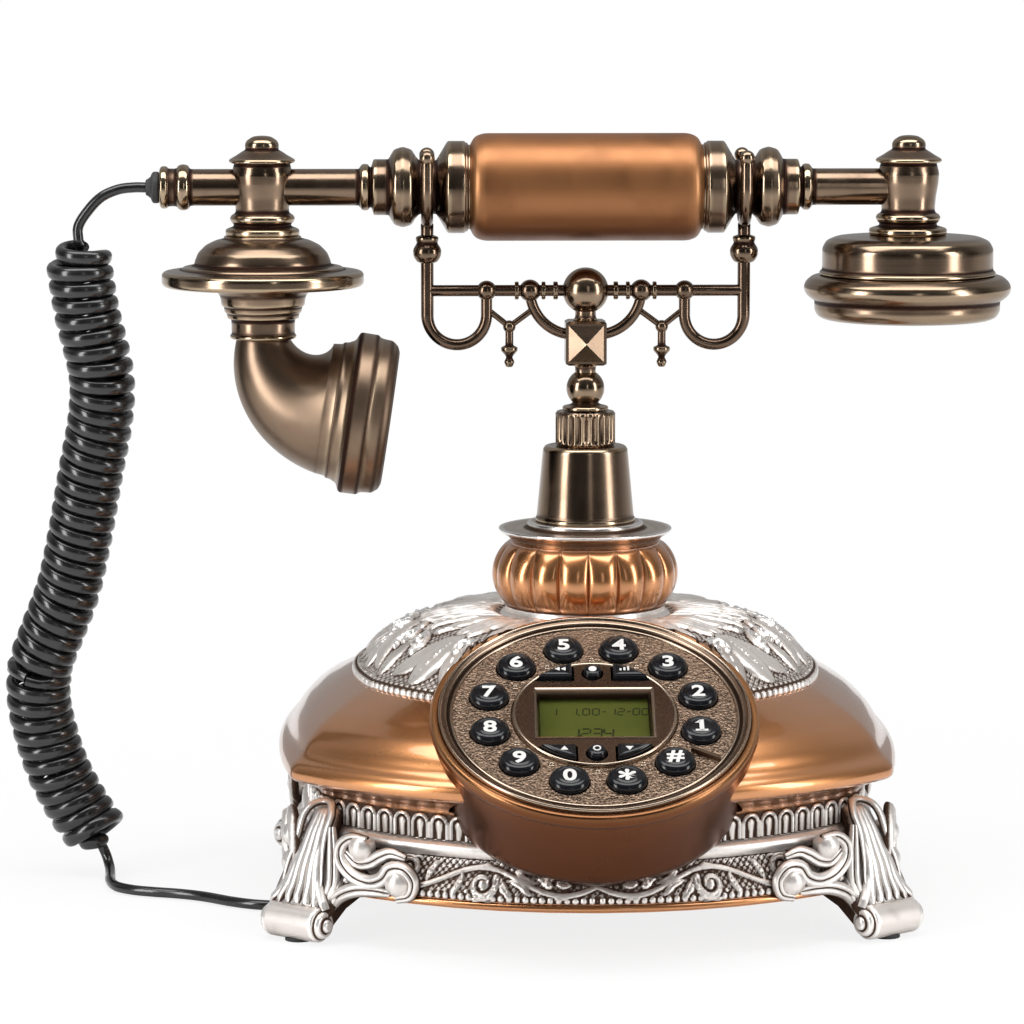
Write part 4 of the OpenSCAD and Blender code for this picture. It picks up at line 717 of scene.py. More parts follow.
@dataclass
class Studio:
    """Camera, soft lamps, pale floor and surroundings."""

    distance: float = 1300
    azimuth: float = -1.3
    elevation: float = 7.5
    target: Triple = (-22, 0, 116)
    lens: float = 152

    def direction(self, azimuth: float, elevation: float) -> Array:
        """The way towards a viewer: azimuth to the right of the front, elevation above level, in degrees."""
        a, e = math.radians(azimuth), math.radians(elevation)
        return np.array([math.sin(a) * math.cos(e), -math.cos(a) * math.cos(e), math.sin(e)])

    def aim(self, thing: Piece, place: Array) -> None:
        """Puts a lamp or camera at a place and turns it to the target."""
        ahead = unit(np.asarray(self.target, float) - place)
        side = unit(np.cross(ahead, [0, 0, 1]))
        axes = np.stack([side, np.cross(side, ahead), -ahead], axis=1)
        matrix = np.eye(4)
        matrix[:3, :3], matrix[:3, 3] = axes, place * MM
        thing.matrix_world = Matrix(matrix.tolist())

    def camera(self) -> None:
        """The camera at the viewing angle."""
        data = bpy.data.cameras.new("camera")
        data.lens, data.sensor_width = self.lens, 36
        data.clip_start, data.clip_end = 0.05, 20
        thing = bpy.data.objects.new("camera", data)
        bpy.context.scene.collection.objects.link(thing)
        back = self.distance * self.direction(self.azimuth, self.elevation)
        self.aim(thing, np.asarray(self.target) + back)
        bpy.context.scene.camera = thing

    def lamp(self, name: str, azimuth: float, elevation: float, reach: float, size: tuple,
            watts: float) -> None:
        """A soft rectangular lamp aimed at the target."""
        data = bpy.data.lights.new(name, "AREA")
        data.shape, data.energy = "RECTANGLE", watts
        data.size, data.size_y = size[0] * MM, size[1] * MM
        thing = bpy.data.objects.new(name, data)
        bpy.context.scene.collection.objects.link(thing)
        self.aim(thing, np.asarray(self.target) + reach * self.direction(azimuth, elevation))

    def world(self) -> None:
        """Pale surroundings: white to the camera and behind the object, dimmer on the viewer's side."""
        world = bpy.data.worlds.new("studio")
        bpy.context.scene.world = world
        world.use_nodes = True
        g = Graph(world.node_tree)
        out = g.add("ShaderNodeOutputWorld")
        way = g.add("ShaderNodeTexCoord").outputs["Generated"]
        parts = g.add("ShaderNodeSeparateXYZ", {0: way}).outputs
        behind = g.step(parts[1], -0.05, 0.6)
        above = g.step(parts[2], 0.15, 0.8)
        level = g.plus(g.plus(g.times(behind, 0.32), g.times(above, 0.1)), 0.035, True)
        path = g.add("ShaderNodeLightPath").outputs
        plain = g.times(path["Is Diffuse Ray"], 0.56)
        mirrored = g.times(g.math("MAXIMUM", path["Is Glossy Ray"], path["Is Transmission Ray"]), level)
        seen = g.math("MAXIMUM", path["Is Camera Ray"], g.math("MAXIMUM", plain, mirrored))
        back = g.add("ShaderNodeBackground", {"Color": (1, 1, 1, 1), "Strength": seen})
        g.tree.links.new(back.outputs[0], out.inputs[0])

    def floor(self) -> None:
        """A round pale floor that fades into the white surroundings."""
        r = np.array([50, 200, 450, 900, 1800, 3600.0])
        r, z = np.concatenate([r, r[::-1]])[:, None], np.repeat([-4, -0.05], len(r))[:, None]
        thing = make_object("floor", skin(around(r, z, 64)))
        material = bpy.data.materials.new("pale_floor")
        material.use_nodes = True
        g = Graph(material.node_tree)
        out = g.add("ShaderNodeOutputMaterial")
        shader = g.add("ShaderNodeBsdfPrincipled", {"Base Color": (0.74, 0.74, 0.74, 1), "Roughness": 0.75})
        glow = g.add("ShaderNodeEmission", {"Color": (1, 1, 1, 1), "Strength": 1.0})
        path = g.add("ShaderNodeLightPath").outputs
        place = g.place()
        away = g.add("ShaderNodeVectorMath", {0: place}, operation="LENGTH").outputs["Value"]
        rear = g.step(g.add("ShaderNodeSeparateXYZ", {0: place}).outputs[1], -0.4, 0.5)
        near = g.step(away, 0.1, 0.4, 1.0, 0.84)
        mirrored = g.times(g.times(path["Is Glossy Ray"], rear), g.step(away, 0.2, 0.7))
        share = g.math("MAXIMUM", g.times(path["Is Camera Ray"], near), mirrored)
        mixed = g.add("ShaderNodeMixShader", {0: share, 1: shader.outputs[0], 2: glow.outputs[0]})
        g.tree.links.new(mixed.outputs[0], out.inputs[0])
        thing.data.materials.append(material)

    def build(self) -> None:
        """Sets up everything but the object."""
        scene = bpy.context.scene
        scene.view_settings.view_transform = "Standard"
        self.camera()
        self.lamp("lamp_left", -56, 13, 900, (230, 640), 4.2)
        self.lamp("lamp_right", 62, 13, 900, (170, 640), 3.2)
        self.lamp("lamp_top", 0, 77, 800, (1250, 430), 8.3)
        self.lamp("lamp_front", 12, 14, 1500, (90, 620), 0.5)
        self.world()
        self.floor()


# ---- The cord ----


@dataclass
class Cord:
    """The coiled handset cord with its straight leads, in two pieces that meet in the coil."""

    diameter: float = 3.1
    coil_radius: float = 9.2
    turns: int = 41
    steps: int = 26
    meeting: float = 0.7
    half_height: float = 2.3
    half_depth: float = 1.8
    outward: float = 0.5
    sides: int = 14
    upper_lead: tuple = ((-131, 0, 213.6), (-134.4, 0, 213.6), (-139, 0, 213), (-144, 0, 210.8),
        (-148, 0, 206.8), (-151, 0, 202), (-151, 0, 197.3))
    coil: tuple = ((-151, 0, 197), (-151, 0, 192), (-149, 1, 177), (-145, 3, 158), (-145.6, 6, 144),
        (-149, 9, 127), (-152.6, 12, 108), (-156.6, 15, 91), (-162, 18, 77), (-166, 20, 66), (-166.6, 22, 55),
        (-164.6, 24, 44), (-161.6, 25, 34), (-158, 26, 26), (-154, 26, 19), (-150, 25.4, 13.4),
        (-148.4, 25, 9.8))
    lower_lead: tuple = ((-148.4, 25, 9.8), (-146.8, 24.6, 6.2), (-145.6, 22, 3), (-145, 16, 1.8),
        (-144.4, 8, 1.8), (-142, 0, 1.8), (-137, -5, 1.8), (-130.6, -8, 1.8), (-122, -11, 1.8),
        (-114.6, -15, 1.8), (-106, -22, 1.8), (-98, -26.4, 1.8), (-89, -27.4, 1.8), (-82, -26, 2.6),
        (-77.6, -24.6, 5.4), (-75.5, -24, 9), (-75.5, -24, 12.5))

    def helix(self) -> Array:
        """The wound line: a circle square to the route, carried along it and drawn in at both ends."""
        dense_route = catmull(np.array(self.coil), 1600)
        s = arc_lengths(dense_route)
        t = np.linspace(0, 1, self.turns * self.steps + 1)
        middle = np.stack([np.interp(t * s[-1], s, dense_route[:, k]) for k in range(3)], axis=1)
        tangent = unit(np.gradient(middle, axis=0))
        side = unit(np.cross(tangent, [0, 1, 0]))
        up = np.cross(side, tangent)
        drawn_in = np.minimum(1, np.minimum(t, 1 - t) * self.turns / 0.9)
        reach = (self.coil_radius - self.diameter / 2) * drawn_in
        a = (TAU * self.turns * t)[:, None]
        return middle + reach[:, None] * (np.cos(a) * side + np.sin(a) * up)

    def tube(self, line: Array) -> Form:
        """The jacket about a line, its sections square to it."""
        t = unit(np.gradient(line, axis=0))
        rough = np.where(np.abs(t[:, 1:2]) > 0.8, [[1.0, 0, 0]], [[0, 1.0, 0]])
        side = unit(np.cross(t, rough))
        up = np.cross(side, t)
        a = angles(self.sides)[None, :, None]
        return skin(line[:, None] + self.diameter / 2 * (np.cos(a) * side[:, None] + np.sin(a) * up[:, None]))

    def wound(self, line: Array) -> Form:
        """The jacket about part of the coil: flattened sections that keep the route's own direction."""
        n = self.steps
        t = unit(np.gradient(line, axis=0))
        padded = np.pad(t, ((n, n), (0, 0)), mode="edge")
        smooth = [np.convolve(padded[:, k], np.ones(n) / n, "same")[n:-n] for k in range(3)]
        axis = unit(np.stack(smooth, axis=1))
        side = unit(np.cross(t, unit(np.cross(axis, t))))
        up = np.cross(side, t)
        a = angles(self.sides)[None, :, None]
        flat = np.sign(np.sin(a)) * np.abs(np.sin(a)) ** 0.8
        out = (self.half_depth * np.cos(a) + self.outward) * up[:, None]
        return skin(line[:, None] + out + self.half_height * flat * side[:, None])

    def build(self) -> None:
        """Makes both pieces, gives them the cord's finish and hides the CAD nodes they stand for."""
        wound = self.helix()
        cut = int(self.meeting * (len(wound) - 1))
        lead_up = dense(catmull(np.array(self.upper_lead), 60), 1.5)
        lead_down = dense(catmull(np.array(self.lower_lead), 200), 2.0)
        top_line = np.vstack([lead_up[:-1], wound[2 : cut + 1]])
        low_line = np.vstack([wound[cut:-2], lead_down[1:]])
        top_form = self.tube(top_line[: len(lead_up) + 5]) + self.wound(wound[4 : cut + 1])
        low_form = self.wound(wound[cut:-4]) + self.tube(low_line[-len(lead_down) - 5 :])
        top, low = make_object("cord_upper", top_form, 60), make_object("cord_lower", low_form, 60)
        top_nodes, low_nodes = ("cord_lead_upper", "cord_coil"), ("cord_lead_lower",)
        for piece, route, nodes in ((top, top_line, top_nodes), (low, low_line[::-1], low_nodes)):
            piece.data.materials.append(CORD_BLACK.material())
            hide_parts(*nodes)
        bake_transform(top)
        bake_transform(low)


# ---- The base ----


@dataclass
class Outline:
    """The bowed outline of the base: four arcs that meet at softened corners, drawn in by an inset."""

    half_w: float = 87.3
    half_d: float = 57
    bow_front: float = 40
    bow_side: float = 5
    front_points: int = 150
    side_points: int = 66

    def radius(self, half: float, rise: float) -> float:
        """Radius of an arc over a chord: half the chord squared plus the rise squared, over two rises."""
        return (half * half + rise * rise) / (2 * rise)

    def arc(self, half: float, rise: float, count: int) -> tuple[Array, Array]:
        """Places along an arc over a chord and how far it rises above the chord."""
        r = self.radius(half, rise)
        a = math.asin(min(1, half / r)) * np.linspace(-1, 1, count, endpoint=False)
        return r * np.sin(a), rise - r + r * np.cos(a)

    def points(self, inset: float) -> Array:
        """Points round the outline from the front left, anticlockwise as seen from above."""
        w, d = self.half_w - inset, self.half_d - inset
        x, rise = self.arc(w, self.bow_front, self.front_points)
        y, out = self.arc(d, self.bow_side, self.side_points)
        half = np.vstack([np.stack([x, -d - rise], axis=1), np.stack([w + out, y], axis=1)])
        ring = np.vstack([half, -half])
        for _ in range(2):
            ring = (np.roll(ring, 1, axis=0) + 2 * ring + np.roll(ring, -1, axis=0)) / 4
        return ring

    def tier(self, profile: Array) -> Array:
        """A grid through the outline at each [inset, height] of a profile."""
        return np.stack([at_height(self.points(inset), z) for inset, z in profile])

    def front(self, x: Array | float, inset: float) -> Array:
        """Where the front lies at a place along X."""
        r = self.radius(self.half_w - inset, self.bow_front)
        return -(self.half_d - inset) - (self.bow_front - r + np.sqrt(r * r - np.square(x)))

    def side(self, y: Array | float, inset: float) -> Array:
        """Where the right side lies at a place along Y."""
        r = self.radius(self.half_d - inset, self.bow_side)
        return self.half_w - inset + (self.bow_side - r + np.sqrt(r * r - np.square(y)))

    def count(self) -> int:
        """Points round the outline."""
        return 2 * (self.front_points + self.side_points)

    def distance(self, inset: float) -> Array:
        """Distance along the outline at each point, from the middle of the front."""
        ring = self.points(inset)
        steps = np.linalg.norm(np.roll(ring, -1, axis=0) - ring, axis=1)
        s = np.concatenate([[0], np.cumsum(steps)[:-1]])
        return s - s[self.front_points // 2]


def grid_normals(grid: Array) -> Array:
    """Outward normals of a grid whose rows run round the Z axis and rise."""
    rising = np.gradient(grid, axis=0)
    onward = np.roll(grid, -1, axis=1) - np.roll(grid, 1, axis=1)
    return unit(np.cross(onward, rising))


OUTLINE = Outline()


def open_drum_room(piece: Piece, radius: float = 46.0) -> None:
    """Cuts the room of the dial's drum out of a closed piece."""
    open_room(piece, turned([[0, -20], [radius, -20], [radius, 60], [0, 60]], DIAL, 128, 0))


def open_jack_room(piece: Piece, slip: float = 0.3) -> None:
    """Cuts the room of the line jack, a block open to the back and below, out of a closed piece."""
    (left, front, low), (right, _, high) = (np.array(corner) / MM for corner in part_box("line_jack"))
    plan = [[left, front], [right, front], [right, front + 40], [left, front + 40]]
    plan = np.array(plan) + [[-slip, 0], [slip, 0], [slip, 0], [-slip, 0]]
    open_room(piece, slab(plan, low - 3, high + slip))


class Body:
    """The copper dome with its cove and rim, and the moulding of the tray."""

    def dome(self) -> None:
        """The copper dome: the outline carried up a moulded section, with its inside parallel to it."""
        outer = [[9.3, 39.2], [8.1, 41.1], [4.3, 43.7], [1.2, 44.8], [0, 45.9], [0, 48.3], [1, 50],
            [3.3, 51.9], [5.3, 55.9], [8.4, 59.6], [12.8, 63.1], [18.7, 66.7], [22, 68.5]]
        line = dense(fillet(fillet(np.array(outer), 1.6, 3), 1.0, 2), 0.9)
        relief = edge_relief(line[:, ::-1], 1.2)
        back = [[24.5, 68.4], [20, 64], [14.6, 60.4], [10.8, 57], [8, 53.6], [5.6, 51], [3.2, 48],
            [3.2, 46.6], [6, 46], [11.8, 43], [11.8, 39.3]]
        grid = OUTLINE.tier(np.vstack([line, back]))
        level = np.concatenate([relief, np.full(len(back), 0.4)])
        piece = make_object("copper_dome", skin(grid, level[:, None], True), 50)
        open_drum_room(piece)
        enter(piece, "base", COPPER_PAINT, "body_shell")

    def tray(self) -> None:
        """The rounded copper moulding round the edge of the tray."""
        section = [[7.5, 14.05], [3.6, 14.05], [2.3, 14.4], [1.9, 15.2], [2.3, 16.1], [3.6, 16.45],
            [7.5, 16.45]]
        line = dense(fillet(np.array(section), 0.6, 3), 1.0)
        form = skin(OUTLINE.tier(line), edge_relief(line[:, ::-1])[:, None], True)
        enter(make_object("tray_moulding", form, 50), "base", COPPER_PAINT)

    def build(self) -> None:
        """Makes the pieces."""
        self.dome()
        self.tray()


class Carving:
    """A relief drawn on a fine flat raster: each stroke raises it to the highest of what lies there.

    It is read back at places along (u) and up (v) a surface, so that one drawing repeats round a piece.
    """

    def __init__(self, wide: float, tall: float, step: float = 0.11) -> None:
        """Starts from a flat ground.

        Args:
            wide: Size along the surface in millimetres.
            tall: Size up the surface.
            step: Width of a cell.
        """
        self.step = step
        self.u, self.v = np.meshgrid(np.arange(0, wide + step, step), np.arange(0, tall + step, step))
        self.height = np.zeros_like(self.u)

    def lift(self, value: Array) -> None:
        """Raises the ground to a height wherever that is higher."""
        self.height = np.maximum(self.height, value)

    def stroke(self, line: Array, half: Array | float, rise: float, vein: float = 0.0,
            spread: float = 0.24) -> None:
        """A rounded ridge along a line: rise times the root of 1 - q squared, with a groove down its middle.

        Args:
            line: Points along the middle of the ridge.
            half: Half its width at each point; q is the distance from the line over this.
            rise: Its height.
            vein: Depth of the groove as a share of the height.
            spread: Width of the groove as a share of the half width.
        """
        line = np.asarray(line, float)
        half = np.maximum(np.broadcast_to(half, (len(line),)), 0.08)
        low, high = line.min(axis=0) - half.max(), line.max(axis=0) + half.max()
        box = (self.u > low[0]) & (self.u < high[0]) & (self.v > low[1]) & (self.v < high[1])
        away = self.u[box][:, None] - line[:, 0], self.v[box][:, None] - line[:, 1]
        gap = np.hypot(*away) / half
        q, best = gap.min(axis=1), gap.argmin(axis=1)
        size = np.sqrt(half[best] / half.max())
        crest = rise * size * np.sqrt(np.maximum(0, 1 - q * q)) * (1 - vein * np.exp(-((q / spread) ** 2)))
        self.height[box] = np.maximum(self.height[box], crest)

    def curve(self, root: tuple, tip: tuple, bend: float, count: int) -> tuple[Array, Array]:
        """Shares from 0 to 1 and the points there on a parabola from root to tip that bends to its left."""
        a, b = np.array(root, float), np.array(tip, float)
        t = np.linspace(0, 1, count)[:, None]
        middle = (a + b) / 2 + bend * np.array([a[1] - b[1], b[0] - a[0]])
        return t[:, 0], (1 - t) ** 2 * a + 2 * t * (1 - t) * middle + t * t * b

    def leaf(self, root: tuple, tip: tuple, bend: float, half: float, rise: float,
            lobes: float = 0.0) -> None:
        """A veined leaf on a curve from its root to its tip, widest past the middle, with scalloped edges."""
        s, line = self.curve(root, tip, bend, 40)
        width = half * np.sin(math.pi * np.clip(0.06 + 0.92 * s, 0, 1)) ** 0.7 * (0.7 + 0.4 * s)
        if lobes:
            width = width * (0.72 + 0.28 * np.abs(np.sin(lobes * math.pi * s)))
        self.stroke(line, width, rise, 0.4)

    def petal(self, root: tuple, tip: tuple, bend: float, half: float, rise: float) -> None:
        """A broad leaf: hollow between raised edges, with a fine rib down its middle and a pointed tip."""
        s, line = self.curve(root, tip, bend, 60)
        width = half * np.sin(math.pi * np.clip(0.1 + 0.9 * s, 0, 1) ** 1.25) ** 0.75
        self.stroke(line, width, rise, 0.34, 0.62)
        self.stroke(line, 0.12 + 0.3 * np.sin(math.pi * s), rise * 0.86)

    def spiral(self, centre: tuple, outer: float, inner: float, start: float, turns: float, half: float,
            rise: float) -> None:
        """A scroll: a veined ridge whose radius shrinks by an even share at each step, round a bead."""
        t = np.linspace(0, 1, 110)
        r = outer * (inner / outer) ** t
        a = math.radians(start) + TAU * turns * t
        line = np.stack([centre[0] + r * np.cos(a), centre[1] + r * np.sin(a)], axis=1)
        self.stroke(line, half * (1.1 - 0.55 * t), rise, 0.35)
        self.stroke(np.array([centre]), inner * 1.05, rise * 1.1)

    def beads(self, v: float, pitch: float, r: float, rise: float) -> None:
        """A row of half balls at one height."""
        along = (self.u % pitch) - pitch / 2
        self.lift(rise * np.sqrt(np.maximum(0, 1 - (along**2 + (self.v - v) ** 2) / r**2)))

    def lattice(self, low: float, high: float, pitch: float, rise: float) -> None:
        """Crossed bars between two heights: small raised lozenges with grooves between them."""
        a, b = (self.u + self.v) / pitch, (self.u - self.v) / pitch
        edge = np.minimum(np.abs(a - np.round(a)), np.abs(b - np.round(b)))
        inside = (self.v > low) & (self.v < high)
        self.lift(np.where(inside, rise * np.clip(edge * 6, 0, 1), 0))

    def softened(self, reach: float) -> Array:
        """The heights averaged over a square of the given half width, twice."""
        n = max(1, int(reach / self.step))
        total = self.height
        for _ in range(2):
            for axis in (0, 1):
                edges = [(n + 1, n) if k == axis else (0, 0) for k in (0, 1)]
                run = np.cumsum(np.pad(total, edges, mode="edge"), axis=axis)
                cells, size = run.shape[axis], 2 * n + 1
                ahead = np.take(run, range(size, cells), axis)
                behind = np.take(run, range(cells - size), axis)
                total = (ahead - behind) / size
        return total

    def read(self, u: Array, v: Array) -> tuple[Array, Array]:
        """Height and relief at places: relief is high on crests and low in the grooves and on the ground."""
        rows, columns = self.height.shape
        x = np.clip(u / self.step, 0, columns - 1.001)
        y = np.clip(v / self.step, 0, rows - 1.001)
        i, j = y.astype(int), x.astype(int)
        fy, fx = y - i, x - j
        relief = np.clip(0.24 + 0.8 * (self.height - self.softened(0.6)) + 0.19 * self.height, 0.02, 0.95)
        found = []
        for field in (self.height, relief):
            low = field[i, j] * (1 - fx) + field[i, j + 1] * fx
            high = field[i + 1, j] * (1 - fx) + field[i + 1, j + 1] * fx
            found.append(low * (1 - fy) + high * fy)
        return found[0], found[1]


@dataclass
class Ornament:
    """The antique silver apron with its frieze, and the silver crown, raised from drawn reliefs."""

    outline: Outline = field(default_factory=lambda: Outline(front_points=390, side_points=220))
    crown_outline: Outline = field(default_factory=lambda: Outline(front_points=310, side_points=165))
    scroll_width: float = 46.0
    scroll_band: float = 10.4
    arch: float = 6.35
    arch_tall: float = 7.6
    apron_rise: float = 0.85
    bay: float = 36
    bay_tall: float = 46
    slope_tall: float = 28

    def scrolls(self) -> Carving:
        """Scrolls and leaves on a lattice over a row of beads; one bay is the other turned half round."""
        c = Carving(self.scroll_width, self.scroll_band)
        w, h = self.scroll_width, self.scroll_band
        c.lattice(1.6, h, 2.1, 0.42)
        u = np.linspace(-1, w + 1, 160)
        for _ in range(2):
            c.stroke(np.stack([u, h / 2 - 3.3 * np.sin(TAU * u / w)], axis=1), 0.75, 1.15, 0.3)
            c.spiral((11.6, 6.3), 4.3, 1.15, -25, 1.3, 1.05, 1.5)
            c.leaf((16, 3.4), (20.5, 9.6), 0.16, 1.5, 1.3, 3)
            c.leaf((5.5, 3.2), (2.6, 9.4), -0.2, 1.4, 1.2, 3)
            c.leaf((9, 2.6), (14.5, 1.9), -0.3, 0.9, 1.0, 2)
            c.leaf((19, 5), (25.5, 8.8), -0.2, 1.2, 1.2, 2)
            c.leaf((7.6, 9.4), (15.6, 9.7), 0.2, 0.9, 1.1, 2)
            c.height = c.height[::-1, ::-1].copy()
        c.beads(0.8, w / 20, 0.95, 0.95)
        return c

    def arches(self) -> Carving:
        """One bay of the frieze: a raised arch with a rounded tongue in it."""
        c = Carving(self.arch, self.arch_tall)
        a = np.linspace(0, math.pi, 40)
        top = np.stack([self.arch / 2 + 2.5 * np.cos(a), 4.5 + 2.5 * np.sin(a)], axis=1)
        right = np.stack([np.full(40, self.arch / 2 + 2.5), np.linspace(0.3, 4.5, 40)], axis=1)
        c.stroke(np.vstack([right, top, right * [-1, 1] + [self.arch, 0]]), 0.6, 1.05)
        tongue = np.linspace([self.arch / 2, 0.2], [self.arch / 2, 4.6], 30)
        c.stroke(tongue, np.linspace(0.8, 1.25, 30), 0.9)
        return c

    def foliage(self) -> Carving:
        """One bay from large leaf to large leaf: beads, net ground, leaves and scrolls up to the ring."""
        w, h = self.bay, self.bay_tall
        c = Carving(w, h)
        c.lattice(3.0, h, 2.3, 0.5)
        c.beads(1.25, w / 15, 1.3, 1.25)
        c.spiral((5.2, 19.4), 4.6, 1.5, -60, 1.2, 1.4, 2.3)
        c.spiral((31.6, 20.6), 5.0, 1.6, 200, -1.25, 1.5, 2.5)
        c.petal((w, 18), (w, 4.4), 0, 3.0, 1.9)
        c.petal((0, 19), (0, 4.6), 0, 3.0, 2.1)
        c.petal((25.6, 26), (28.4, 4.6), 0.06, 4.0, 2.0)
        c.petal((22.6, 27), (5.8, 6.6), 0.13, 4.0, 2.3)
        c.petal((24.4, 27), (15.6, 4.4), 0.08, 4.9, 2.7)
        c.leaf((14, h), (22.4, 27), 0.08, 4.8, 2.4, 3)
        c.leaf((26, h), (26.6, 27.5), -0.1, 4.4, 2.3, 3)
        c.leaf((w, h), (35.6, 28), 0, 4.6, 2.2, 3)
        c.leaf((3, h), (11.6, 27.6), 0.1, 4.4, 2.1, 3)
        c.leaf((0, 40), (1.4, 25.6), -0.1, 3.4, 2.0, 2)
        c.leaf((14.4, 31), (7.4, 24.6), 0.2, 1.9, 2.0, 2)
        return c

    def raised(self, grid: Array, height: Array) -> Array:
        """The grid moved along its outward normals by the heights."""
        return grid + height[..., None] * grid_normals(grid)

    def apron(self) -> None:
        """The cast apron: the outline carried up its section, scrolls below the ridge and arches above it."""
        cove = np.array([[3, 16.5], [3, 18.0], [3.6, 19.4], [5.2, 21.6], [6.8, 24.2], [7.7, 26.2], [8, 27.3]])
        ridge = np.array([[7.3, 27.9], [6.9, 28.7], [6.7, 29.6], [6.9, 30.5], [7.4, 31.2], [8.3, 31.6],
                [9.3, 31.7]])
        wall = np.array([[9.3, 31.9], [9.3, 39.2]])
        low, high = dense(cove, 0.36), dense(wall, 0.36)
        line = np.vstack([low, ridge, high])
        grid = self.outline.tier(line)
        s = self.outline.distance(6)
        height, relief = np.zeros(grid.shape[:2]), np.full(grid.shape[:2], 0.62)
        drawn = self.scrolls()
        v = arc_lengths(low)
        u = (np.abs(s) + 2)[None] % self.scroll_width
        height[: len(low)], relief[: len(low)] = drawn.read(u, v[:, None] * self.scroll_band / v[-1])
        u = (s % self.arch)[None]
        v = arc_lengths(high)
        v = v[:, None] * self.arch_tall / v[-1]
        height[-len(high) :], relief[-len(high) :] = self.arches().read(u, v)
        height *= self.apron_rise
        relief[len(low) - 1], relief[-len(high)] = 0.1, 0.08
        grid = self.raised(grid, height)
        back = self.outline.tier(np.array([[11.8, 39.2], [11.8, 29.7], [7.1, 16.5]]))
        relief = np.vstack([relief, np.full((len(back), relief.shape[1]), 0.3)])
        piece = make_object("apron_cast", skin(np.concatenate([grid, back]), relief, True), 75)
        open_drum_room(piece)
        open_jack_room(piece)
        enter(piece, "base", SILVER_CAST, "apron")

    def crown(self) -> None:
        """The cast crown: it morphs from the outline to the ring that carries the cushion."""
        foot = np.array([[24.2, 68.5], [23.3, 69], [23.2, 69.8], [23.5, 70.6], [24.3, 71.1]])
        slope = np.array([[25.4, 71.4], [27, 72.9], [29.7, 75.6], [34.3, 79.2], [38.9, 81.9], [43, 83.4]])
        line = dense(np.vstack([foot, slope]), 0.46)
        grid = self.crown_outline.tier(line)
        ring = grid[0, :, :2] / np.linalg.norm(grid[0, :, :2], axis=1, keepdims=True)
        share = np.linspace(0, 1, 38)[1:, None, None]
        edge = at_height(ring * 25.5, 85.0)
        swell = 0.8 * np.sin(math.pi * share) * [0, 0, 1]
        grid = np.concatenate([grid, grid[-1:] * (1 - share) + edge * share + swell])
        sides = [self.crown_outline.front_points, self.crown_outline.side_points] * 2
        corners = np.cumsum([0] + sides[:3])
        count = self.crown_outline.count()
        place = (np.arange(count) - 0.5) % count
        u = np.zeros(count)
        bay, tall, slope_tall = self.bay, self.bay_tall, self.slope_tall
        for start, points, bays in zip(corners, sides, (4, 2) * 2):
            here = (place >= start) & (place < start + points)
            u[here] = bay - np.abs((place[here] - start) / points * bays * bay % (2 * bay) - bay)
        v = np.vstack([np.zeros(count), np.cumsum(np.linalg.norm(np.diff(grid, axis=0), axis=2), axis=0)])
        low = v[len(line) - 1]
        above = slope_tall + (v - low) * (tall - slope_tall) / (v[-1] - low)
        v = np.where(v > low, above, v * slope_tall / low)
        height, relief = self.foliage().read(u[None], v)
        fade = np.clip((tall - v) / 1.5, 0, 1)
        grid = self.raised(grid, height * fade)
        section = ((25.2, 84.6), (25.6, 85.4), (25, 86.2), (24.2, 86.6), (24, 87.6), (24, 88), (12, 88),
            (12, 80))
        top = [at_height(ring * r, z) for r, z in section]
        inner = [at_height(grid[0, :, :2] * k, z) for k, z in ((0.6, 76), (0.9, 68.5))]
        relief = np.vstack([relief, np.full((len(top) + len(inner), count), 0.66)])
        piece = make_object("crown_cast", skin(np.concatenate([grid, top, inner]), relief, True), 75)
        open_drum_room(piece)
        enter(piece, "base", SILVER_CAST, "crown")

    def build(self) -> None:
        """Makes the pieces."""
        self.apron()
        self.crown()


def blade(path: Array, out: Array, half: Array, bulge: Array, ribs: int, depth: float,
        back: float = 0.5) -> Form:
    """A ribbed leaf or limb along a path: a crowned strip with grooves along it and a flatter back.

    The place across is p from -1 to 1. The front stands bulge times the root of 1 - |p|^2.4 out, less depth
    in the grooves between the ribs; the back stands back times as far the other way.

    Args:
        path: Points along the middle.
        out: The way that the front faces, one or one for each point.
        half: Half the width at each point.
        bulge: How far the front stands out at each point.
        ribs: Number of ribs across.
        depth: Depth of the grooves.
        back: Share of the bulge on the back.
    Returns:
        The form.
    """
    along = unit(np.gradient(path, axis=0))
    across = unit(np.cross(along, np.broadcast_to(np.asarray(out, float), path.shape)))
    out = np.cross(across, along)
    count = max(19, int(ribs * 10) | 1)
    p = np.sin(np.linspace(-math.pi / 2, math.pi / 2, count))
    wave = np.cos if ribs % 2 else np.sin
    rib = np.abs(wave(ribs * math.pi / 2 * p)) ** 0.55
    crown = np.maximum(0, 1 - np.abs(p) ** 2.4) ** 0.5
    front = bulge[:, None] * crown - depth * (1 - rib) * crown * np.minimum(1, half / 2)[:, None]
    rear = -back * bulge[:, None] * crown[::-1][1:-1]
    q = np.concatenate([p, p[::-1][1:-1]])
    rise = np.concatenate([front, rear], axis=1)
    sideways = half[:, None, None] * q[None, :, None] * across[:, None]
    grid = path[:, None] + sideways + rise[..., None] * out[:, None]
    level = np.concatenate([0.12 + 0.6 * rib * np.sqrt(crown), np.full(len(q) - count, 0.1)])
    return skin(grid, np.broadcast_to(level, rise.shape))


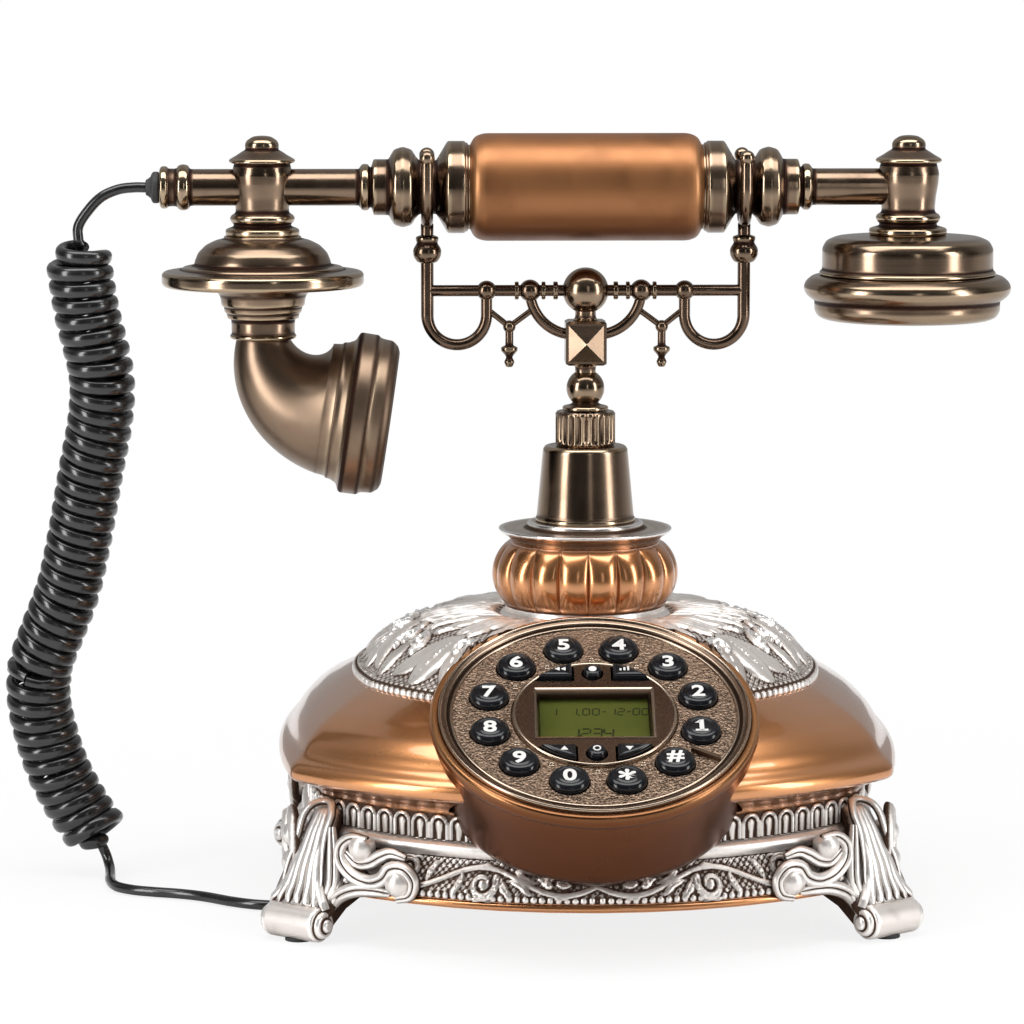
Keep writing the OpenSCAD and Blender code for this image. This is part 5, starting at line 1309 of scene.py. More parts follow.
@dataclass
class Foot:
    """A cast foot: a fluted leaf that runs down to a rolled toe, with scrolls on both flanks."""

    x: float = 74
    y: float = 50
    turn: float = 52
    stations: tuple = ((0.6, 33.4, 8, 1.8, 100), (2.2, 34.8, 9, 2.6, 82), (4.4, 34.2, 10.4, 3.2, 52),
        (5.8, 31.8, 11.4, 3.6, 34), (7.4, 29, 12, 3.8, 26), (9.2, 25, 14.4, 4, 19),
        (11.2, 20.6, 18.4, 4.2, 14), (13, 15.2, 22, 4.2, 18), (15.4, 10.6, 23, 4, 34), (18, 7.6, 22, 3.4, 55))
    roll: tuple = ((0, -12.2), (1.4, -12.2), (1.9, -11.6), (2, -11), (3.4, -10.9), (3.9, -10.3), (4, -9.3),
        (4.9, -9.1), (5.1, -8.2), (5.1, 8.2), (4.9, 9.1), (4, 9.3), (3.9, 10.3), (3.4, 10.9), (2, 11),
        (1.9, 11.6), (1.4, 12.2), (0, 12.2))
    ridges: tuple = ((0, 0.0, 0.2), (2.4, 3.5, 0.2), (3.4, 7.0, 0.4), (3, 10.2, 0.56))
    limb_points: int = 60

    @property
    def shares(self) -> Array:
        """Places from 0 to 1 along a limb, one for each of its points."""
        return np.linspace(0, 1, self.limb_points)

    def spine(self, count: int) -> tuple[Array, Array, Array, Array]:
        """Middle, facing, half width and thickness down the leg, in its own plane."""
        s = catmull(np.array(self.stations), count)
        lean = np.radians(s[:, 4])
        middle = np.stack([s[:, 0], 0 * lean, s[:, 1]], axis=1)
        return middle, np.stack([np.cos(lean), 0 * lean, np.sin(lean)], axis=1), s[:, 2] / 2, s[:, 3]

    def ridge(self, start: float, top: float, bottom: float, side: int) -> Form:
        """One bold flute: it leaves the leaf at a share of the way down and spreads out above the toe."""
        middle, out, half, thick = self.spine(70)
        first, last = int(start * 69), 67
        keep = slice(first, last)
        t = np.linspace(0, 1, last - first)
        across = side * (top * 0.5 + (bottom - top * 0.5) * t**1.25)
        crown = np.sqrt(np.maximum(0.05, 1 - (across / (half[keep] + 0.8)) ** 2))
        path = middle[keep] + out[keep] * (thick[keep] * 0.85 * crown)[:, None]
        path[:, 1] += across
        width = 0.5 + 1.35 * np.sin(math.pi * np.clip(0.05 + 0.8 * t, 0, 1)) ** 0.6
        facing = out[keep] + (across / (half[keep] + 3))[:, None] * [0, 0.8, 0]
        bulge = 0.3 + 1.25 * t**0.5 * np.clip((1.02 - t) * 8, 0.3, 1)
        return blade(path, facing, width, bulge, 1, 0.2, 0.6)

    def leg(self) -> Form:
        """The fluted leaf and the toe, in the leg's own plane: reach, across and height."""
        middle, out, half, thick = self.spine(64)
        way = arc_lengths(middle)
        top, start = 4.4, 3.2
        forms = [blade(middle, out, half, thick * 0.85, 1, 0.15, 0.8)]
        for over, under, share in self.ridges:
            for side in (1, -1) if under else (1,):
                forms.append(self.ridge(share, over, under, side))
        head, tail = 13, 26
        turn = np.linspace(0, math.pi / 2, head + 1)[1:]
        far = start + np.concatenate([top * (1 - np.cos(turn)), np.linspace(top, 24, tail + 1)[1:]])
        flank = 0.9 * np.interp(far[head:], way, half) - 0.16 * (far[head:] - start - top)
        wide = np.concatenate([5.1 * np.sin(turn), flank])
        stand = np.concatenate([[0.5] * head, np.linspace(0.5, 0, tail)])[:, None] * 3
        face = middle + out * thick[:, None] * 0.8
        down = np.stack([np.interp(far, way, face[:, k]) for k in range(3)], axis=1)
        edge = np.vstack([(down + wide[:, None] * [0, -1, 0])[::-1], down + wide[:, None] * [0, 1, 0]])
        front = np.stack([np.interp(far, way, out[:, k]) for k in range(3)], axis=1)
        edge = edge + np.vstack([(front * stand)[::-1], front * stand])
        size = np.concatenate([[1.35] * head, np.linspace(1.35, 0.3, tail)])
        size = np.concatenate([size[::-1], size])
        forms.append(blade(edge, np.vstack([front[::-1], front]), size, size * 0.8, 1, 0.2, 0.6))
        forms.append(turned(list(self.roll), Place((19, 0, 5.6), (1, 0, 0), (0, 0, -1), (0, 1, 0)), 64))
        web = np.array([[-8, 13.7], [12, 13.7], [17, 8.6], [18, 4], [15, 2], [6, 8], [-6, 12]])
        shares = np.array([0.94, 1, 1, 0.94])
        centre = web.mean(axis=0)
        rings = centre + shares[:, None, None] * (web - centre)
        y = np.repeat(np.array([-8, -7.4, 7.4, 8])[:, None], len(web), 1)
        grid = np.stack([rings[..., 0], y, rings[..., 1]], axis=-1)
        return merged(forms) + skin(grid, np.full(grid.shape[:2], 0.05))

    def on_front(self, points: list, stand: float | Array) -> Array:
        """Points [x, z] as a smooth line on the front of the apron, standing out from it."""
        line = catmull(np.array(points, float), self.limb_points)
        return np.stack([line[:, 0], OUTLINE.front(line[:, 0], 4) - stand, line[:, 1]], axis=1)

    def on_side(self, points: list, stand: float | Array) -> Array:
        """Points [y, z] as a smooth line on the right side of the apron, standing out from it."""
        line = catmull(np.array(points, float), self.limb_points)
        return np.stack([OUTLINE.side(line[:, 0], 4) + stand, line[:, 0], line[:, 1]], axis=1)

    def limb_forms(self, facing: Triple, limbs: tuple) -> list[Form]:
        """Limbs that swell in their middle.

        Args:
            facing: The way that they face.
            limbs: Each limb's line, half width and bulge at its ends, growth of both, and depth of grooves.
        Returns:
            The limbs' forms.
        """
        swell = np.sin(math.pi * np.clip(0.08 + 0.86 * self.shares, 0, 1)) ** 0.6
        forms = []
        for line, half, bulge, wider, prouder, depth in limbs:
            forms.append(blade(line, facing, half + wider * swell, bulge + prouder * swell, 2, depth))
        return forms

    def front_flank(self) -> list[Form]:
        """The scrolls along the front beside the right front foot, each a limb that ends round a ball."""
        t = self.shares
        c_limb = [(65, 31), (69.6, 31), (72.6, 28), (72.4, 23.8), (69.2, 20.2), (64.4, 19), (60.6, 20.6),
            (58.2, 23.8), (54.4, 24), (51.8, 20.8), (52.8, 16.6), (56.6, 15)]
        inner = [(71.4, 26.6), (68, 24), (64.4, 24.6), (61, 26.8), (58, 28), (54, 27)]
        lower = [(77, 7.6), (75.4, 11), (72.4, 14.4), (68, 16.4), (63, 16.8), (58.4, 16.4)]
        fan_long = [(75.2, 33), (74.8, 25), (75, 17), (77.4, 11), (80, 6.4)]
        fan_short = [(73.6, 20.4), (74, 16), (76, 11), (78.6, 6.6)]
        forms = self.limb_forms((0.32, -0.95, 0.05), (
            (self.on_front(c_limb, 3.2 - 0.8 * t), 0.5, 0.6, 1.9, 1.9, 1.1),
            (self.on_front(inner, 2 - 0.4 * t), 0.4, 0.4, 1.8, 1.6, 0.8),
            (self.on_front(lower, 6 - 4 * t), 0.6, 0.6, 1.8, 1.6, 0.9),
            (self.on_front(fan_long, 2 + 6 * t), 0.4, 0.5, 1.9, 1.6, 0.8),
            (self.on_front(fan_short, 2 + 6 * t), 0.4, 0.5, 1.9, 1.6, 0.8)))
        for x, z, r, stand in ((66.6, 28.6, 3.9, 2.2), (56, 19.6, 4.2, 1.6)):
            forms.append(ball((x, float(OUTLINE.front(x, 4)) - stand, z), r))
        return forms

    def side_flank(self) -> list[Form]:
        """The scrolls along the side behind the right front foot."""
        t = self.shares
        curl = [(-56, 17), (-51, 15.4), (-45, 17), (-40.6, 21.6), (-40, 27), (-36.4, 30.8), (-32.2, 28.6),
            (-32.4, 24), (-36, 21.4)]
        crest = [(-57, 21), (-56, 27), (-52, 32.6), (-46, 34), (-41.4, 31)]
        low_edge = [(-62, 8), (-58, 12.4), (-52, 15.8), (-45, 17), (-38, 16.6)]
        forms = self.limb_forms((0.97, -0.2, 0.05), (
            (self.on_side(curl, 3.4 - 1.6 * t), 0.5, 0.6, 2, 1.9, 0.9),
            (self.on_side(crest, 3.6 - 1.6 * t), 0.5, 0.6, 1.9, 1.8, 0.8),
            (self.on_side(low_edge, 3 - 2 * t), 0.5, 0.5, 1.5, 1.3, 0.8)))
        for y, z, r, stand in ((-36.4, 26.2, 3.6, 1.6), (-47.4, 27.6, 3.9, 2.2), (-52.4, 20.6, 3.9, 3.0)):
            forms.append(ball((float(OUTLINE.side(y, 4)) + stand, y, z), r))
        return forms

    def build(self) -> None:
        """Makes both pairs of feet."""
        c, s = math.cos(math.radians(-self.turn)), math.sin(math.radians(-self.turn))
        place = Place((self.x, -self.y, 0), (c, s, 0), (-s, c, 0), (0, 0, 1))
        pair = merged([self.leg().put(place), merged(self.front_flank() + self.side_flank())]).both(0)
        for name, form in (("feet_front", pair), ("feet_rear", pair.mirrored(1))):
            enter(make_object(name + "_cast", form, 50), "base", SILVER_CAST, name)


# ---- The stem ----


@dataclass
class Stem:
    """Gadrooned cushion, dish, cone and fluted collar."""

    lobes: int = 18
    cushion_low: float = 88
    cushion_tall: float = 19.2
    cushion_r: float = 22.7
    cushion_bulge: float = 5.3
    cushion_groove: float = 2.1
    flutes: int = 24
    collar_r: float = 9
    flute_depth: float = 0.9

    def cushion(self) -> Form:
        """The cushion: a bulged section whose radius falls into a groove between each two lobes."""
        t = np.linspace(0, 1, 49)[:, None]
        sides = self.lobes * 24
        lobe = np.abs(np.cos(angles(sides)[None] * self.lobes / 2)) ** 0.55
        bulge = self.cushion_bulge * np.sin(math.pi * t) ** 0.6
        r = self.cushion_r + bulge - self.cushion_groove * (1 - lobe) * np.sin(math.pi * t) ** 0.7
        return skin(around(r, self.cushion_low + self.cushion_tall * t, sides), 0.22 + 0.4 * lobe + 0 * t)

    def collar(self) -> Form:
        """The collar: a cylinder whose radius falls into round flutes between its two bands."""
        z = np.array([136.2, 137, 137.3, 138.4, 144.4, 145.4, 145.8, 146.5])[:, None]
        depth = np.array([0, 0, 0.4, 1, 1, 0.4, 0, 0])[:, None]
        bevel = np.array([0.5, 0, 0, 0, 0, 0, 0, 0.5])[:, None]
        sides = self.flutes * 12
        flute = np.abs(np.sin(angles(sides)[None] * self.flutes / 2))
        r = self.collar_r - self.flute_depth * depth * (1 - flute**1.6) - bevel
        return skin(around(r, z, sides), 0.25 + 0.45 * flute + 0 * z)

    def build(self) -> None:
        """Makes the pieces."""
        enter(make_object("cushion_gadrooned", self.cushion(), 60), "base", COPPER_PAINT,
            "cushion")
        dish = [[0, 107.2], [22.1, 107.2], [23.1, 108.9], [26, 110.7], [26, 111.5], [21.4, 110.9],
            [17.4, 111.5], [17.4, 113], [16.9, 113.4], [0, 113.4]]
        enter(make_object("dish_turned", turned(dish, sides=144)), "base", SILVER_RIM,
            "stem_dish")
        cone = [[0, 113.4], [15, 113.4], [15, 114.4], [14.6, 115], [12.7, 135.2], [11.9, 136.2], [0, 136.2]]
        enter(make_object("cone_turned", turned(cone, sides=144)), "base", BRONZE_CONE,
            "stem_cone")
        enter(make_object("collar_fluted", self.collar(), 50), "base", BRONZE_Z,
            "fluted_collar")


# ---- The cradle ----


@dataclass
class Cradle:
    """The sprung cradle: turned middle, faceted block, bar with loops and drops, and the two forks."""

    bar_z: float = 182.7
    axis_z: float = HANDSET_Z
    upright_x: float = 47.3
    loop_x: float = 29.6
    loop_drop: float = 17.9
    arc_x: float = 16.6
    arc_foot: float = 3.4
    drop_x: float = 22.8
    rod: float = 1.7
    upright: float = 1.9
    fork: float = 10.2

    def rod_between(self, p: tuple, q: tuple, r: float) -> Form:
        """A straight round rod between two points of the X-Z plane."""
        line = np.linspace([p[0], 0, p[1]], [q[0], 0, q[1]], 5)
        return swept(line, r, [0, 1, 0], 24)

    def bent(self, centre: tuple, radius: float, start: float, end: float, count: int = 40) -> Array:
        """Points on an arc of the X-Z plane, with angles in degrees from +X towards +Z."""
        a = np.radians(np.linspace(start, end, count))
        return np.stack([centre[0] + radius * np.cos(a), 0 * a, centre[1] + radius * np.sin(a)], axis=1)

    def bead(self, x: float, r: float) -> Form:
        """A bead on the bar."""
        return ball((x, 0, self.bar_z), r)

    def washer(self, x: float, half: float, r: float) -> Form:
        """A rounded collar on the bar."""
        return turned([[0, -half], [r, -half], [r, half], [0, half]], lying(x, self.bar_z), 48, 0.35)

    def bar(self) -> list[Form]:
        """The right half of the bar: rod, loop, beads, collars and the arc beside the sphere."""
        z, x = self.bar_z, self.upright_x
        loop_r = (x - self.loop_x) / 2
        bend = self.bent((x - loop_r, z - self.loop_drop + self.rod + loop_r), loop_r, 0, -180, 60)
        loop = np.vstack([[[x, 0, self.axis_z - 11]], bend, [[self.loop_x, 0, z]]])
        thins = [self.upright, self.upright, self.rod, self.rod]
        radii = np.interp(np.arange(len(loop)), [0, 1, 12, len(loop) - 1], thins)
        fine = dense(loop, 1.5)
        radii = np.interp(arc_lengths(fine), arc_lengths(loop), radii)
        forms = [self.rod_between((0, z), (x, z), self.rod), swept(fine, radii, [0, 1, 0], 24)]
        forms += [self.bead(self.loop_x, 3), self.bead(self.arc_x, 3.3)]
        washers = ((self.arc_x - 4, 0.6), (self.arc_x + 4, 0.6), (9, 0.7))
        forms += [self.washer(at, half, 2.7) for at, half in washers]
        arc = self.bent((self.arc_foot, z), self.arc_x - self.arc_foot, 0, -90)
        return forms + [swept(arc, 1.6, [0, 1, 0], 24)]

    def drop(self) -> list[Form]:
        """Two thin rods that meet in a bead over a turned drop."""
        x, z = self.drop_x, self.bar_z - 10.8
        ends = ((self.loop_x, z + 5.4), (self.arc_x - 0.6, z + 5))
        rods = [self.rod_between((x, z), end, 0.9) for end in ends]
        section = [[0, -12.3], [1, -12], [1.6, -10.6], [0.9, -9.2], [1.2, -8.6], [2.5, -7.2], [2.5, -6.2],
            [1.2, -5.6], [1.2, 0], [0, 0]]
        return rods + [ball((x, 0, z), 1.9), turned(section, Place((x, 0, z)), 48, 0.3)]

    def yoke(self) -> list[Form]:
        """The turned knot with the fork that holds the handset's neck."""
        x, z = self.upright_x, self.axis_z
        knot = [[0, -23], [3, -22.4], [4.2, -20.4], [4.2, -18.4], [3, -16.6], [3.4, -15.8], [3.4, -14.8],
            [0, -13.6]]
        a = np.radians(np.linspace(180, 360, 60))
        prong = np.linspace(z + 8, z, 6)[:, None] * [0, 0, 1]
        u = np.stack([0 * a + x, self.fork * np.cos(a), z + self.fork * np.sin(a)], axis=1)
        line = np.vstack([prong[:-1] + [x, -self.fork, 0], u, prong[::-1][1:] + [x, self.fork, 0]])
        tips = [ball((x, way * self.fork, z + 9), 2.3) for way in (-1, 1)]
        return [turned(knot, Place((x, 0, z)), 48, 0.8), swept(line, 1.8, [1, 0, 0], 24)] + tips

    def block(self) -> Form:
        """A box with a low pyramid on its front and back, its edges softened by a narrow bevel."""
        low, high, w, tip, e = 160.6, 173.8, 6.1, 8.7, 0.5
        sections = [(w - 1, low), (w, low + 0.6), (w, high - 0.6), (w - 1, high)]
        square = np.array([[1, -1], [1, 1], [-1, 1], [-1, -1]], float)
        form = skin(np.stack([at_height(square * half, z) for half, z in sections]), 0.5)
        foot, head = low + e + 0.3, high - e - 0.3
        face = [[-w + e, foot], [w - e, foot], [w - e, head], [-w + e, head]]
        face = np.column_stack([np.full(4, w - 0.2), face])
        point = np.array([tip, 0, (low + high) / 2])
        shares = np.array([0, 0.03, 0.45, 0.9, 0.97, 1.0])[:, None, None]
        cone = face[None] * (1 - shares) + point * shares
        cone[-1] = point + (face - point) * 0.004
        pyramid = skin(cone, np.array([0.5, 0.52, 0.5, 0.6, 0.8, 0.9])[:, None])
        turn = np.array([[0, 1, 0], [-1, 0, 0], [0, 0, 1]], float)
        for way in (turn, turn.T):
            form = form + replace(pyramid, verts=pyramid.verts @ way)
        return form

    def middle(self) -> Form:
        """The turned middle: flange, neck, ball, block and the sphere on the bar."""
        flange = [[0, 146.8], [6.9, 146.8], [6.9, 148], [4.4, 148.6], [3.6, 149.4], [3.1, 150.4], [3.1, 160],
            [4, 160.6], [0, 160.6]]
        neck = [[0, 173.6], [4, 173.8], [3.1, 174.6], [3.1, 178], [0, 178]]
        plunger = [[0, 48], [9, 48], [9, 50], [3.1, 50.4], [3.1, 61.7], [5, 61.9], [5, 63.7], [3.1, 63.9],
            [3.1, 147], [0, 147]]
        forms = [turned(flange, soft=0.6), turned(neck), turned(plunger, sides=48), ball((0, 0, 153.4), 5.7)]
        return merged(forms + [self.block(), ball((0, 0, self.bar_z), 6.9, 64)])

    def build(self) -> None:
        """Makes the pieces."""
        half = merged(self.bar() + self.drop() + self.yoke())
        enter(make_object("cradle_bar", half.both(0), 50), "cradle", BRONZE_X,
            "cradle_fork")
        enter(make_object("cradle_middle", self.middle(), 25), "cradle", BRONZE_Z,
            "cradle_block")


# ---- The handset ----


@dataclass
class Handset:
    """Grip, turned necks, both tees, the disc with its horn, and the earpiece."""

    axis_z: float = HANDSET_Z
    tee_x: float = 96.3
    disc_z: float = 168.5

    def upright(self, side: int) -> Place:
        """The vertical axis of an end, with heights measured from the handset's axis."""
        return Place((side * self.tee_x, 0, self.axis_z))

    def neck(self) -> list:
        """Section of the neck, collars and thin tube on one side."""
        return [[0, 34], [12.6, 34.5], [12.6, 35.1], [13.2, 35.3], [13.2, 35.8], [13.7, 36.2], [13.7, 41],
            [13.2, 41.5], [8.6, 44.2], [8, 44.6], [8, 49.7], [9.2, 50.7], [11.2, 51.9], [12, 54.5],
            [11.2, 57.1], [9.2, 58.3], [8.3, 58.7], [8.3, 63.2], [7.4, 63.5], [6, 63.9], [6, 64.3],
            [6.9, 64.9], [6.9, 66.6], [5.9, 67.3], [5.45, 67.6], [5.45, 90.7], [0, 90.7]]

    def barrel(self, foot: float) -> list:
        """Section of an end's barrel, from its foot to its finial."""
        return [[0, -14.4], [foot, -14.4], [foot, -12.4], [8.7, -11.6], [8.5, -10.9], [9.3, -10.3],
            [9.7, -9.3], [9.3, -8.3], [8.2, -7.7], [7.9, -7], [8.2, -3], [8.9, 1], [9.1, 4], [8.5, 6.4],
            [8.3, 7], [9.6, 7.3], [9.9, 7.8], [9.6, 8.4], [7.8, 9.4], [6, 10.6], [4.9, 11.2], [5, 11.8],
            [5, 13], [4.4, 14], [2.6, 15.1], [0, 15.4]]

    def grip(self) -> None:
        """The copper grip with its rounded shoulders."""
        section = [[12.2, -34.5], [12.6, -34.5], [15, -33.2], [16, -30.5], [16, 30.5], [15, 33.2],
            [12.6, 34.5], [12.2, 34.5]]
        form = turned(section, lying(0, self.axis_z), 128, 2.2, True)
        enter(make_object("grip_lacquered", form), "handset", COPPER_GRIP, "grip_sleeve")

    def ends(self) -> None:
        """Necks, tees and the tube that the cord leaves through."""
        for name, side in (("right", 1), ("left", -1)):
            form = turned(self.neck(), lying(0, self.axis_z, side), 96, 0.7)
            enter(make_object("neck_turned_" + name, form), "handset", BRONZE_X,
                "neck_" + name)
        ear = turned(self.barrel(11.6), self.upright(1), 96, 0.7)
        enter(make_object("ear_tee_turned", ear), "handset", BRONZE_Z, "ear_tee")
        mouth = turned(self.barrel(11), self.upright(-1), 96, 0.7)
        tube = [[0, 96.3], [5.45, 96.3], [5.45, 117.7], [6.6, 118.3], [6.9, 119.7], [6.6, 121.1],
            [5.6, 121.7], [5.6, 124.1], [6.3, 124.7], [6.3, 126.1], [5.6, 126.7], [0, 126.7]]
        mouth = mouth + turned(tube, lying(0, self.axis_z, -1), 72, 0.6)
        enter(make_object("mouth_tee_turned", mouth), "handset", BRONZE_Z, "mouth_tee")

    def gland(self) -> None:
        """The small rubber sleeve that the cord leaves through."""
        section = [[0, 126.7], [4.2, 126.7], [4.7, 127.2], [4.7, 128.6], [4.1, 129.1], [3.2, 129.4],
            [2.6, 130.2], [2.2, 130.9], [0, 130.9]]
        form = turned(section, lying(0, self.axis_z, -1), 64, 0.3)
        enter(make_object("cord_sleeve", form), "handset", RUBBER, "cord_gland")

    def mouthpiece(self) -> None:
        """The turned disc and the bent horn under it."""
        z, d = self.disc_z, 186.4
        disc = [[0, z], [9.4, z], [9.9, z + 0.4], [9.9, z + 1.1], [9.4, z + 1.5], [9.5, z + 5.6],
            [9.9, z + 6], [10.7, z + 6.2], [10.8, z + 7.6], [11.5, z + 8], [11.7, z + 9.6], [12.4, z + 10],
            [12.8, z + 13], [16, d - 2], [29.2, d - 2.2], [30.1, d - 1.4], [30.1, d + 1.4], [29.4, d + 2.2],
            [25.4, d + 2.7], [24.2, d + 2.8], [23.7, d + 3.6], [21.6, d + 3.9], [20.4, d + 4.2],
            [20.2, d + 5.4], [19.2, d + 7.8], [17, d + 10], [14.2, d + 11.4], [12.2, d + 11.9],
            [11.6, d + 12], [11.4, 199.2], [0, 199.2]]
        form = turned(disc, Place((-self.tee_x, 0, 0)), 160, 0.7)
        enter(make_object("mouth_disc_turned", form), "handset", BRONZE_Z, "mouth_disc")
        enter(make_object("horn_spun", self.horn(), 50), "handset", BRONZE_HORN, "horn")

    def horn(self) -> Form:
        """The horn: circles along a bend that widen, then a moulded rim, and back up the inside."""
        bend, turn, throat, r, rim, length, wall = 21.3, 81.5, 8, 19.6, 24.2, 20, 2.2
        t = np.linspace(0, 1, 40)
        outer = np.column_stack([t, 0 * t, throat + (r - throat) * t**1.05])
        lip = [[2.6, r + 0.3], [3.2, r + 0.9], [4.4, r + 1], [6.4, rim - 2.6], [7.4, rim - 0.4], [8, rim],
            [13, rim - 0.1], [13.6, rim - 0.7], [14.6, rim - 1], [17.4, rim - 1.2], [19.2, rim - 2.6],
            [length, rim - 4.6], [length - 0.8, rim - 5.6], [length - 5, r - 0.6], [1, r - wall]]
        lip = dense(fillet(np.array(lip), 0.6), 1.2)
        lip = np.column_stack([np.ones(len(lip)), lip])
        inner = np.column_stack([t[::-1], 0 * t, outer[::-1, 2] - wall])[1:]
        stations = np.vstack([outer, lip, inner])
        share, reach, radius = stations[:, :1], stations[:, 1:2], stations[:, 2:]
        a = np.radians(turn) * share
        ahead = np.hstack([np.sin(a), 0 * a, -np.cos(a)])
        up = np.hstack([np.cos(a), 0 * a, np.sin(a)])
        middle = np.hstack([-self.tee_x + bend * (1 - np.cos(a)), 0 * a, self.disc_z - bend * np.sin(a)])
        b = angles(120)[None, :, None]
        circle = np.cos(b) * up[:, None] + np.sin(b) * np.array([0, 1.0, 0])
        grid = (middle + reach * ahead)[:, None] + radius[:, None] * circle
        section = np.hstack([radius, reach - 30 * (1 - share)])
        relief = edge_relief(section[::-1])[::-1]
        relief[len(outer) + len(lip) :] = 0.25
        return skin(grid, relief[:, None], True)

    def earpiece(self) -> None:
        """The shell and the moulded cap with its sound holes."""
        top, seam, low, r, rim = 199.2, 187.2, 174.0, 25.5, 31
        shell = [[0, seam + 0.2], [r + 0.8, seam + 0.2], [r + 0.8, seam + 1], [r, seam + 1.6], [r, top - 4],
            [r - 1.2, top - 1.8], [r - 4, top - 0.6], [13, top], [0, top]]
        place = Place((self.tee_x, 0, 0))
        piece = make_object("ear_shell_turned", turned(shell, place, 160, 0.8))
        enter(piece, "handset", BRONZE_Z, "ear_shell")
        cap = [[0, low], [rim - 6.4, low], [rim - 4.4, low + 0.8], [rim - 3.3, low + 2.6],
            [rim - 3.3, low + 5.6], [rim - 2.2, low + 6.2], [rim - 0.6, low + 7.6], [rim, low + 9.4],
            [rim - 0.6, low + 11.2], [rim - 2.4, seam - 0.4], [rim - 4, seam], [0, seam]]
        piece = make_object("ear_cap_turned", turned(cap, place, 160, 0.8))
        holes = [self.hole(0, 0)]
        for ring in (1, 2):
            holes += [self.hole(6 * ring, 60 * k / ring) for k in range(6 * ring)]
        open_room(piece, merged(holes))
        enter(piece, "handset", BRONZE_Z, "ear_cap")

    def hole(self, reach: float, turn: float) -> Form:
        """The room of one sound hole, blind in the cap."""
        a = math.radians(turn)
        place = Place((self.tee_x + reach * math.cos(a), reach * math.sin(a), 0))
        return turned([[0, 173], [1.1, 173], [1.1, 177], [0, 177]], place, 20, 0)

    def build(self) -> None:
        """Makes the pieces."""
        self.grip()
        self.ends()
        self.gland()
        self.mouthpiece()
        self.earpiece()


# ---- The dial and its keys ----


SEGMENT_CODES = (0x3F, 0x06, 0x5B, 0x4F, 0x66, 0x6D, 0x7D, 0x07, 0x7F, 0x6F)


class Legend(Enum):
    """The plain signs of the function keys."""

    TWO_LEFT = "two_left"
    DOT = "dot"
    BARS = "bars"
    UP = "up"
    RING = "ring"
    DOWN = "down"


